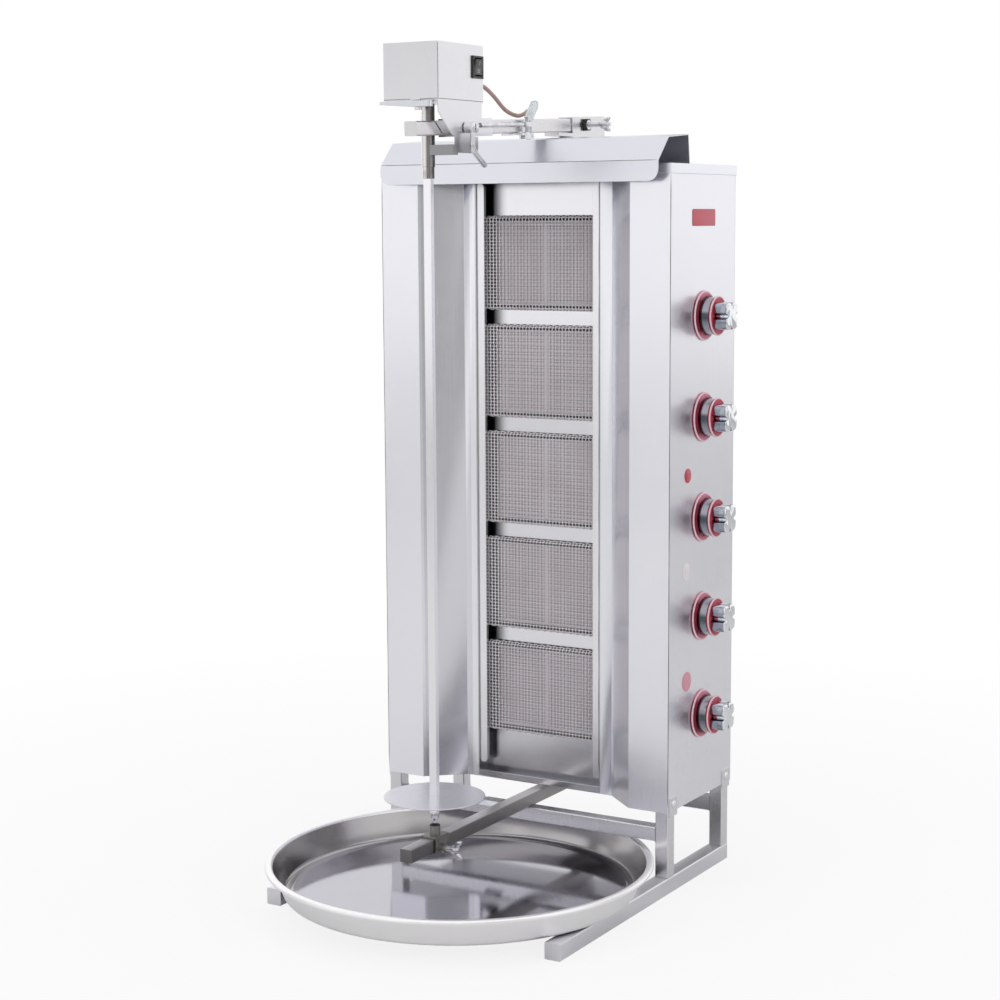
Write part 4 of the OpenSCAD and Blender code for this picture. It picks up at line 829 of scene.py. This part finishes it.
# Round-headed bolts through the tabs, polished.
bolt_profile = [(0, 3.5), (1.6, 3.45), (3.2, 3.05), (4.6, 2.2), (5.6, 1.0), (5.95, 0.4), (6, 0)]
nut_profile = ((0, 2), (5.5, 2), (5.5, 6.5), (0, 6.5))
for side in (-1, 1):
    for n, y in enumerate((17, 204)):
        label = f"{'left' if side < 0 else 'right'}_{n + 1}"
        head = turned(f"bolt_head_{label}", [(r, side * h) for r, h in bolt_profile], 40, "X",
                      (side * 251.5, y, 137))
        smooth(head, 40)
        chrome.on(head)
        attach(head, "stand")
        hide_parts("body_bolts")
        nut = turned(f"bolt_nut_{label}", [(r, -side * h) for r, h in nut_profile], 6, "X",
                     (side * 250.4, y, 137))
        chrome.on(nut)
        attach(nut, "stand")
        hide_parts("body_bolts")

# Lower arm: a square tube across both rails, closed at its front end, its steel browner and darker than the
# stand's. Its top face is painted lighter and its sides darker towards the front end, as painted light and
# shade.
arm_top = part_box("lower_arm")[1].z


def arm_light_and_shade(steel):
    """Share of the tone left, painted light and shade: the top face is painted lighter, the sides darker
    towards the front end.
    """
    along, up = steel.parts(steel.place())[1:]
    return steel.ramp((along + 0.40) / 0.6, (0.1, 0.55), (0.75, 1.0)) * (1 + (up > arm_top - 0.0006) * 1.3)


arm_steel = brushed("arm_steel", 0.40, "Y", 0.34, -0.02, shape=arm_light_and_shade)
arm_steel.on(softened("lower_arm", 0.4))

# Foot of the spit: a sleeve on the lower arm, a cup with a black ring in its mouth, and a wing screw with
# a rolled thread. The screw and its wings are cast and plated bright.
foot_steel = brushed("foot_steel", 0.32, "Z", 0.28, -0.04)
foot_steel.on(softened("foot_holder", 0.5))
cup_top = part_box("foot_holder")[1].z * 1000
spit_y = -255
ring_profile = [(4.4, -0.2), (7.2, -0.2), (7.7, 0.4), (7.2, 1.0), (5.0, 1.1), (4.4, 0.6)]
cup_ring = smooth(turned("cup_ring", ring_profile, 40, "Z", (0, spit_y, cup_top), caps=False), 60)
black_rubber.on(cup_ring)
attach(cup_ring, "foot")
bright = mottled("plated_bright", (60, 4), (0.3, (0.58, 0.58, 0.61)), (0.75, (0.92, 0.92, 0.94)),
                 rough=(0.18, 0.08), Metallic=1.0)


def wing_screw(name, length, wing_at, span, place, body, node, thread_to):
    """A wing screw along x: a core with a helical ridge of 1.25 mm pitch, a tapered hub, and two wings,
    each a flattened round section that widens and closes along a curve away from the hub."""
    core = [(0, 0.2), (3.1, 0.3), (3.45, 1.2), (3.45, wing_at), (3.45, length - 1), (2.6, length),
            (0, length)]
    turn = np.linspace(0, 2 * np.pi, 28, endpoint=False)

    def add(label, points, **how):
        points = place(points.reshape(-1, 3)).reshape(points.shape)
        obj = grid_object(f"{name}_{label}", points, closed_u=True, **how)
        smooth(obj, 45)
        bright.on(obj)
        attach(obj, body)
        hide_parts(node)

    def rings(profile):
        profile = np.array(profile, float)
        r = np.maximum(profile[:, :1], 1e-3)
        return np.stack([np.repeat(profile[:, 1:], len(turn), 1), r * np.cos(turn), r * np.sin(turn)], -1)

    add("core", rings(core), cap=True)
    hub = ((3.5, -1.5), (6.3, -1.2), (6.6, -0.4), (6.0, 5), (5.2, 8.4), (4.4, 9), (3.5, 9))
    add("hub", rings([(r, wing_at + out) for r, out in hub]), closed_v=True)
    winds = (thread_to - 1.5) / 1.25
    t = np.linspace(0, 1, int(winds * 18))
    spin = t * winds * 2 * np.pi
    line = np.stack([1 + t * (thread_to - 1.5), 3.5 * np.cos(spin), 3.5 * np.sin(spin)], 1)
    ridge = tube_along(f"{name}_thread", place(line), 0.00045, 5, (0.1, 1, 0.2))
    smooth(ridge, 60)
    bright.on(ridge)
    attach(ridge, body)
    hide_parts(node)
    s = np.linspace(0, 1, 12)
    for side in (1, -1):
        x = wing_at + 3.5 + 11.5 * s ** 1.2
        z = side * (3.5 + (span - 4.6) * s ** 0.85)
        radius = np.array([2.6, 3.2, 3.6, 3.9, 4.1, 4.15, 4.05, 3.8, 3.3, 2.5, 1.5, 0.3]) * 0.93
        tangent = np.stack([np.gradient(x), np.gradient(z)], 1)
        tangent /= np.linalg.norm(tangent, axis=1, keepdims=True)
        across = np.stack([tangent[:, 1], -tangent[:, 0]], 1)
        wing = np.stack([x[:, None] + radius[:, None] * np.cos(turn) * across[:, :1],
                         np.broadcast_to(radius[:, None] * 0.5 * np.sin(turn), (12, len(turn))),
                         z[:, None] + radius[:, None] * np.cos(turn) * across[:, 1:]], -1)
        add("wing_up" if side > 0 else "wing_down", wing, cap=True)


wing_screw("foot_screw", 31, 21, 15, lambda p: (p + np.array([10.4, spit_y, 106])) / 1000, "foot_screw",
           "foot_wing_screw", 20)

# Drip pan: a round pressing in bright sheet. Its floor lies a little below a narrow ledge, its wall leans
# out, and its rim is turned out and rolled down.
pan_at, sheet_t = (0, -187.55, 25), 1.1
corner = [(254 + 8 * math.sin(a), 9.2 - 8 * math.cos(a)) for a in np.radians(np.linspace(0, 78, 7))]
roll = [(283.6 + 4.05 * math.sin(a), 42.2 + 4.05 * math.cos(a)) for a in np.radians(np.linspace(0, 118, 9))]
floor_line = [(0, 1.3), (60, 1.2), (180, 1.2), (240, 1.2), (246, 1.25), (248.5, 1.5), (250, 1.9),
              (251.5, 2.05)]
wall_line = [(266.5, 20), (271, 30), (275.5, 40), (276.9, 43.6), (278.2, 45.6), (280.2, 46.35)]
upper = np.array(floor_line + [(r + 0.4, z + 1.0) for r, z in corner[1:]] + wall_line + roll)
step = np.gradient(upper, axis=0)
step /= np.linalg.norm(step, axis=1, keepdims=True)
under = upper + sheet_t * np.stack([step[:, 1], -step[:, 0]], 1)
under[0] = (0, 0.15)
drip_pan = smooth(turned("drip_pan_shown", np.vstack([under, upper[::-1]]), 160, "Z", pan_at), 50)
inside = drip_pan.data.attributes.new("inner_face", "FLOAT", "POINT")
inside.data.foreach_set("value", np.repeat([0.0, 1.0], [160 * len(under), 160 * len(upper)])
                        .astype(np.float32))
pan_metal = Finish("pan_metal", Metallic=1.0)
x, y, z = pan_metal.parts(pan_metal.place(centre=(0, -0.18755, 0)))
radius = (x * x + y * y).sqrt()
floor_r, wall_r = 0.2515, 0.2765
lathe = pan_metal.node("ShaderNodeCombineXYZ", {}, {0: radius * 900, 1: z * 900, 2: 0.0})
spun = pan_metal.noise(lathe, 1, 3, 0.6)
cloud = pan_metal.noise(pan_metal.place(), 9, 4, 0.6)
scuff = pan_metal.noise(pan_metal.place(), 70, 6, 0.7, 1.2)
inner = pan_metal.node("ShaderNodeAttribute", {"attribute_name": "inner_face"}, {}, "Fac")
# The pan's colour carries painted light and shade: inside it is painted darker, most on its steep wall and
# its floor, and outside lighter.
steep = inner * (radius > floor_r) * (radius < wall_r)
shade = ((cloud * 0.06 + spun * 0.05 + scuff * 0.04 + 0.82) * (1 - steep * 0.38)
         * (1 - inner * (radius < wall_r) * 0.12))
outer = (1 - inner) + (radius > wall_r) * inner
shade = shade * (1 + outer * 0.12) * (1 - inner * (radius < floor_r) * 0.34)
pan_metal.give("Base Color", pan_metal.node("ShaderNodeCombineColor", {}, {
    0: shade, 1: shade * (0.985 - steep * 0.02), 2: shade * (1.09 - steep * 0.11)}))
pan_metal.give("Roughness", scuff * 0.10 + cloud * 0.04 + steep * 0.14 + outer * 0.32)
pan_metal.bump(spun * 0.6 + scuff * 0.4, 0.00005, 0.3)
pan_metal.on(drip_pan)
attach(drip_pan, "drip_pan")
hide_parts("pan")
bright.on(softened("pan_clip", 0.35))

# Spit: a bright flat bar in the collar of the drive shaft, with a round meat disc on it. The disc is
# turned from sheet, its hub held by a set screw.
spit_steel = brushed("spit_steel", 0.94, "Z", 0.18, 0.02)
spit_steel.on(softened("spit_bar", 0.5))
disc_steel = Finish("disc_steel", Metallic=1.0)
x, y, z = disc_steel.parts(disc_steel.place(centre=(0, spit_y / 1000, 0)))
radius = (x * x + y * y).sqrt()
lathe = disc_steel.node("ShaderNodeCombineXYZ", {}, {0: radius * 1400, 1: 0.0, 2: 0.0})
rings_of = disc_steel.noise(lathe, 1, 3, 0.6)
cloud = disc_steel.noise(disc_steel.place(), 7, 2, 0.5)
shade = rings_of * 0.03 + cloud * 0.06 + 0.72
disc_steel.give("Base Color", disc_steel.node("ShaderNodeCombineColor", {}, {
    0: shade, 1: shade * 0.985, 2: shade * 1.05}))
disc_steel.give("Roughness", rings_of * 0.15 + cloud * 0.1 + 0.16)
disc_steel.bump(rings_of, 0.00004, 0.4)
disc_steel.on(softened("spit_disc", 0.6, 2, 40))
set_profile = [(0, 10.8), (2.2, 10.8), (2.2, 13.6), (1.9, 13.9), (0, 13.9)]
set_screw = smooth(turned("disc_set_screw", set_profile, 6, "X", (0, spit_y, 175.5)), 40)
black_steel = mottled("black_steel", (220, 4), (0.3, 0.035), (0.8, 0.09), rough=(0.25, 0.3), Metallic=1.0)
black_steel.on(set_screw)
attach(set_screw, "spit")
shaft_steel = Finish("shaft_steel", Metallic=1.0)
x, y, z = shaft_steel.parts(shaft_steel.place(centre=(0, spit_y / 1000, 0)))
lathe = shaft_steel.node("ShaderNodeCombineXYZ", {}, {0: z * 2600, 1: 0.0, 2: 0.0})
lathe_line = shaft_steel.noise(lathe, 1, 3, 0.6)
cloud = shaft_steel.noise(shaft_steel.place(), 40, 4, 0.6)
# Painted light and shade across one fixed direction: light on one side of the shaft, dark bands of painted
# reflection on the other.
side_light_and_shade = shaft_steel.ramp((x * 0.859 + y * 0.512) / 0.05 + 0.5, (0.30, 1.0), (0.42, 0.95), (0.47, 0.26),
                              (0.56, 0.40), (0.62, 0.22), (0.68, 0.07), (0.71, 0.36))
shade = (lathe_line * 0.08 + cloud * 0.08 + 0.80) * side_light_and_shade
shaft_steel.give("Base Color", shaft_steel.node("ShaderNodeCombineColor", {}, {
    0: shade * 1.02, 1: shade * 0.97, 2: shade * 0.96}))
shaft_steel.give("Roughness", lathe_line * 0.12 + cloud * 0.1 + 0.12)
shaft_steel.bump(lathe_line, 0.00005, 0.4)
shaft_steel.on(softened("drive_shaft", 0.6, 2, 40))


# Upper arm: a square tube with a closed front end, in a sleeve that stands on the top cap. A bolt with two
# wings and a black lock nut holds it.
def on_arm(points):
    """From the arm's own axes (across, along from the spit, up) in millimetres to metres in the frame: the
    arm is tilted up towards the back by 2.6 degrees about a level line through the spit."""
    p = np.asarray(points, float)
    tilt = math.radians(2.6)
    return np.stack([0.02 + p[..., 0] / 1000,
                     spit_y / 1000 + (p[..., 1] * math.cos(tilt) - p[..., 2] * math.sin(tilt)) / 1000,
                     1.135 + (p[..., 1] * math.sin(tilt) + p[..., 2] * math.cos(tilt)) / 1000], -1)


upper_steel = brushed("upper_arm_steel", 0.76, "Y", 0.26, 0.0)
upper_steel.on(softened("upper_arm", 0.4))
bracket_steel = brushed("bracket_steel", 0.74, "Y", 0.22, 0.02)
bracket_steel.on(softened("arm_bracket", 0.6))
wing_screw("bracket_bolt", 46, 31, 11, lambda p: on_arm(p + np.array([10.4, 400, 0])), "bracket_bolt",
           "bracket_wing_bolt", 30)


def spun_on_arm(name, profile, sides, along, up=0, angle=40, **how):
    """A piece turned about a line that runs across the arm: (place across, radius) for each of its rings."""
    turn = np.linspace(0, 2 * np.pi, sides, endpoint=False)
    rings = [np.stack([np.full(sides, x), along + r * np.cos(turn), up + r * np.sin(turn)], 1)
             for x, r in profile]
    return smooth(grid_object(name, on_arm(np.array(rings)), closed_u=True, **how), angle)


nut_profile = ((13.0, 8.6), (13.0, 9.8), (13.6, 10.4), (17.6, 10.4), (18.2, 9.8), (18.2, 8.6))
lock_nut = spun_on_arm("lock_nut", nut_profile, 6, 400, angle=30, closed_v=True)
black_steel.on(lock_nut)
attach(lock_nut, "stand")

# Motor head: a folded carriage and a folded housing over the gear motor, both from thin brushed sheet,
# with a dark line where they meet. It holds a rocker switch and the cord's gland.
def head_shade(steel):
    """Share of the tone, painted shade: the carriage's lower end, by the steady block, is painted darker than
    the rest.
    """
    up = steel.parts(steel.place())[2]
    return steel.ramp((up - 1.0) / 0.3, (0.375, 0.42), (0.45, 1.0))


head_steel = brushed("head_steel", 0.86, "Z", 0.30, 0.02, shape=head_shade)
head_steel.on(softened("head_carriage", 0.35), softened("motor_housing", 0.6))
seam_outline = rounded_outline(89.4, 118.4, 0.9) + np.array([0, -239])
seam_in = rounded_outline(86.0, 115.0, 0.5) + np.array([0, -239])
seam = [np.concatenate([o, np.full((len(o), 1), z)], 1) / 1000
        for o, z in ((seam_outline, 1172.7), (seam_outline, 1173.4), (seam_in, 1173.4), (seam_in, 1172.7))]
house_low, house_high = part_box("motor_housing")
edge_x, edge_y = house_high.x - 0.0003, house_low.y + 0.0003
# The grey bead down the housing's front corner is a painted shade line along its fold.
bead("housing_edge", (edge_x, edge_y, 1.1735), (edge_x, edge_y, house_high.z - 0.001), 0.00045, shade_line_grey,
     "arm")
head_seam = smooth(grid_object("head_seam", np.array(seam), closed_u=True, closed_v=True), 30)
black_rubber.on(head_seam)
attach(head_seam, "arm")
cast_metal = mottled("motor_cast", (300, 4, 0.7), (0.3, 0.10), (0.8, 0.24), rough=(0.2, 0.4),
                     bump=(0.0003, 0.6), Metallic=0.8)
cast_metal.on(softened("gear_motor", 0.8))
black_plastic = mottled("black_plastic", (500, 3, 0.6), (0.3, 0.010), (0.8, 0.028), rough=(0.2, 0.28),
                        bump=(0.0002, 0.4), Coat_Weight=0.1)
black_plastic.on(softened("switch_frame", 0.6, 3))
rocker_plastic = mottled("rocker_plastic", (500, 3, 0.6), (0.3, 0.07), (0.8, 0.12), rough=(0.2, 0.3),
                         Coat_Weight=0.1)
rocker_plastic.on(softened("switch_rocker", 0.5, 3))

# The usual circle and stroke on the rocker, printed white.
mark_paint = mottled("mark_paint", (600, 2), (0.3, 0.62), (0.8, 0.8), Roughness=0.5)


def rocker_mark(name, low, high, shape):
    """A ring of points (width, height) drawn on the rocker's face between two points (out, up) of its
    profile, raised 0.12 mm."""
    low, high = np.array(low), np.array(high)
    along = (high - low) / np.linalg.norm(high - low)
    out = np.array([along[1], -along[0]])
    middle = (low + high) / 2
    rows = []
    for lift in (0, 0.12):
        for edge in shape:
            p = middle + edge[:, 1:2] * along + lift * out
            rows.append(np.stack([45.0 + p[:, 0], -196 + edge[:, 0], 1220 + p[:, 1]], 1) / 1000)
    if len(shape) == 2:
        rows = [rows[0], rows[1], rows[3], rows[2]]
        mark = grid_object(name, np.array(rows), closed_u=True, closed_v=True)
    else:
        mark = grid_object(name, np.array(rows), closed_u=True, cap=True)
    smooth(mark, 40)
    mark_paint.on(mark)
    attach(mark, "rocker")


ring_turn = np.linspace(0, 2 * np.pi, 28, endpoint=False)
circle = np.stack([np.cos(ring_turn), np.sin(ring_turn)], 1)
stroke = np.array([(-0.35, -2.6), (0.35, -2.6), (0.35, 2.6), (-0.35, 2.6)])
rocker_mark("mark_off", (1.8, -10.5), (2.6, 0), [circle * 2.6, circle * 2.0])
rocker_mark("mark_on", (2.6, 0), (5.2, 10.5), [stroke])

# Cranked handle: a bent round bar welded to a hub, plated bright.
hub_at, handle_along = 25.5, 27
down, aside = (np.array([0, -math.sin(math.radians(a)), math.cos(math.radians(a)) * sign])
               for a, sign in ((10, -1), (234, 1)))
start = np.array([hub_at + 12, handle_along, 0])
elbow = start + 30 * down
t = np.linspace(0, 1, 13)[:, None]
arc = (elbow - 9 * down) * (1 - t) ** 2 + 2 * elbow * t * (1 - t) + (elbow + 9 * aside) * t ** 2
handle_line = np.vstack([start, start + 10 * down, arc]
                        + [elbow + out * aside for out in (25, 39.5, 41, 41.8, 42)])
handle_r = np.array([4] * 17 + [3.5, 2.2, 0.5]) / 1000
handle_bar = smooth(tube_along("handle_bar", on_arm(handle_line), handle_r, 28, (1, 0, 0)), 60)
hub_profile = [(hub_at + x, r) for x, r in (
    (0.2, 0.01), (0.2, 7.2), (1.0, 8.0), (15.6, 8.0), (17.2, 7.4), (18, 6.0), (18, 0.01))]
screw_profile = ((10.4, 0.01), (10.4, 3.2), (11.2, 3.9), (hub_at + 1, 3.9), (hub_at + 1, 0.01))
for piece in (handle_bar, spun_on_arm("handle_hub", hub_profile, 36, handle_along, cap=True),
              spun_on_arm("handle_screw", screw_profile, 36, handle_along, cap=True)):
    bright.on(piece)
    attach(piece, "clamp")
    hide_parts("clamp_handle")

# Flat lever under the housing on a pivot screw: stamped sheet, tumbled and pale.
pale_sheet = mottled("pale_sheet", (80, 5, 0.65), (0.3, (0.80, 0.81, 0.84)), (0.8, (0.90, 0.91, 0.94)),
                     rough=(0.25, 0.2), bump=(0.0001, 0.4), Metallic=1.0)
pale_sheet.on(softened("head_lever", 0.7, 3))

# Push-pull lever: a plated base under the arm, a lever moulded in clear plastic, and a rod that is
# threaded where it goes through the head.
bright.on(softened("toggle_base", 0.4))
clear_plastic = mottled("clear_plastic", (120, 4, 0.6), (0.3, (0.84, 0.89, 0.92)), (0.8, (0.92, 0.95, 0.97)),
                        rough=(0.2, 0.12), Transmission_Weight=0.55, IOR=1.46)
clear_plastic.on(softened("toggle_lever", 1.1, 3))
bright.on(softened("toggle_rod", 0.4))
t = np.linspace(0, 1, 24 * 18)
spin = t * 24 * 2 * np.pi
rod_line = on_arm(np.stack([18 + 3.15 * np.cos(spin), 52 + 26 * t, 2.5 + 3.15 * np.sin(spin)], 1))
rod_thread = smooth(tube_along("rod_thread", rod_line, 0.00035, 5, (0.1, 1, 0.2)), 60)
shaft_steel.on(rod_thread)
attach(rod_thread, "toggle_bar")
for k, s in enumerate((181, 199)):
    spin = np.linspace(0, 2 * np.pi, 24, endpoint=False)
    rings = [np.stack([23 + r * np.cos(spin), s + r * np.sin(spin), np.full(24, z)], 1)
             for z, r in ((-10.1, 0.01), (-10.1, 3.4), (-9.0, 3.3), (-8.2, 2.5), (-7.9, 1.2), (-7.9, 0.01))]
    screw = grid_object(f"base_screw_{k + 1}", on_arm(np.array(rings)), closed_u=True, cap=True)
    smooth(screw, 40)
    bright.on(screw)
    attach(screw, "arm")

# Cord gland in the housing's back wall, ribbed towards the cord, and the clip that leads the cord past
# the sleeve.
gland = [(0, -3), (4.8, -3), (4.8, 0), (6.4, 0), (7, 0.6), (7, 3.6), (6.2, 4.4), (5.6, 5)]
for k in range(4):
    base = 5.5 - k * 0.42
    gland += [(base, 6 + 4.4 * k), (base, 8.4 + 4.4 * k), (base - 0.7, 8.8 + 4.4 * k),
              (base - 0.7, 10 + 4.4 * k)]
gland += [(3.4, 23.6), (3.1, 24), (0, 24)]
cord_gland = smooth(turned("cord_gland_shown", gland, 36, "Y", (20, -180, 1198)), 40)
black_rubber.on(cord_gland)
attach(cord_gland, "arm")
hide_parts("cord_gland")
white_plastic = mottled("white_plastic", (400, 3), (0.3, 0.66), (0.8, 0.76), rough=(0.2, 0.35))
white_plastic.on(softened("cord_clip", 0.5, 3))

# The studio: a pale floor, three broad soft lamps and an even room. The camera, metal and glass see the
# room white. A few grey and black cards stand where the shiny pieces reflect them, as flags do round a
# product shot.
floor = grid_object("studio_floor", [[(x, y, -0.0006) for x in (-9, 9)] for y in (-9, 9)])
floor_paint = mottled("floor_paint", (3, 2), (0.2, 0.80), (0.8, 0.82), Roughness=0.9)
floor_paint.on(floor)
x, y, z = floor_paint.parts(floor_paint.place(centre=(0, -0.1, 0)))
away = ((x * x + y * y).sqrt() * 0.62 - 0.2).clamp()
rays = floor_paint.node("ShaderNodeLightPath", {}, {}, "Is Camera Ray")
glow = floor_paint.node("ShaderNodeEmission", {}, {"Color": (1, 1, 1, 1), "Strength": 1.0}, "Emission")
plain = Sock(floor_paint, floor_paint.shader.outputs[0])
shown = floor_paint.node("ShaderNodeMixShader", {}, {0: rays * (away * 0.16 + 0.84), 1: plain, 2: glow}, 0)
floor_paint.tree.links.new(shown.socket, floor_paint.tree.nodes["Material Output"].inputs["Surface"])


def soft_lamp(name, place, target, size, watts):
    """A square lamp of the size, in metres, turned towards the target. Metal doesn't mirror it."""
    lamp = bpy.data.objects.new(name, bpy.data.lights.new(name, "AREA"))
    lamp.data.shape, lamp.data.size, lamp.data.energy = "SQUARE", size, watts
    lamp.location = place
    lamp.rotation_euler = (Vector(target) - Vector(place)).to_track_quat("-Z", "Y").to_euler()
    lamp.visible_glossy = False
    scene.collection.objects.link(lamp)


soft_lamp("lamp_front", (-1.6, -3.4, 2.9), (0, 0, 0.6), 2.4, 34)
soft_lamp("lamp_right", (3.6, -1.2, 2.4), (0, 0, 0.6), 2.2, 28)
soft_lamp("lamp_above", (0.2, 0.3, 4.2), (0, 0, 0.5), 2.6, 26)


def card(name, foot, width, low, high, tone):
    """An upright card that only mirrors show: width metres across, square to the line from its foot point
    to the grill, from one height to another."""
    foot = np.array(foot, float)
    side = np.array([-foot[1], foot[0]]) / np.linalg.norm(foot) * width / 2
    a, b = foot - side, foot + side
    board = grid_object(name, np.array([[(*a, low), (*b, low)], [(*a, high), (*b, high)]]))
    board.visible_camera = board.visible_diffuse = False
    board.visible_shadow = board.visible_transmission = False
    paint = Finish(name)
    shade = paint.noise(paint.place(), 2, 2)
    paint.shader.inputs["Base Color"].default_value = (0, 0, 0, 1)
    paint.give("Emission Color", paint.ramp(shade, (0.2, tone * 0.92), (0.8, tone * 1.08)))
    paint.shader.inputs["Emission Strength"].default_value = 1.0
    paint.shader.inputs["Specular IOR Level"].default_value = 0
    paint.on(board)


card("card_wing", (2.55, -2.1), 1.9, -0.2, 1.9, 0.42)
card("card_head", (-1.9, -2.9), 2.2, 1.36, 2.6, 0.66)
card("card_left", (-2.9, -1.2), 0.5, -0.2, 3.0, 0.08)
card("card_back", (-1.0, 3.2), 0.6, 0.0, 3.0, 0.12)
card("card_near", (0.9, -3.6), 0.45, -0.2, 3.0, 0.10)
card("card_right", (2.6, 1.75), 0.75, -0.2, 3.0, 0.05)

room = bpy.data.worlds.new("room")
scene.world = room
room.use_nodes = True
tree = room.node_tree
tree.nodes.clear()
path = tree.nodes.new("ShaderNodeLightPath")
seen = path.outputs["Is Camera Ray"]
for kind in ("Is Transmission Ray", "Is Glossy Ray"):
    either = tree.nodes.new("ShaderNodeMath")
    either.operation = "MAXIMUM"
    tree.links.new(seen, either.inputs[0])
    tree.links.new(path.outputs[kind], either.inputs[1])
    seen = either.outputs[0]
blend = tree.nodes.new("ShaderNodeMixShader")
tree.links.new(seen, blend.inputs[0])
for slot, strength in ((1, 0.55), (2, 1.0)):
    light = tree.nodes.new("ShaderNodeBackground")
    light.inputs[0].default_value, light.inputs[1].default_value = (1, 1, 1, 1), strength
    tree.links.new(light.outputs[0], blend.inputs[slot])
output = tree.nodes.new("ShaderNodeOutputWorld")
tree.links.new(blend.outputs[0], output.inputs["Surface"])
scene.view_settings.view_transform = "Standard"
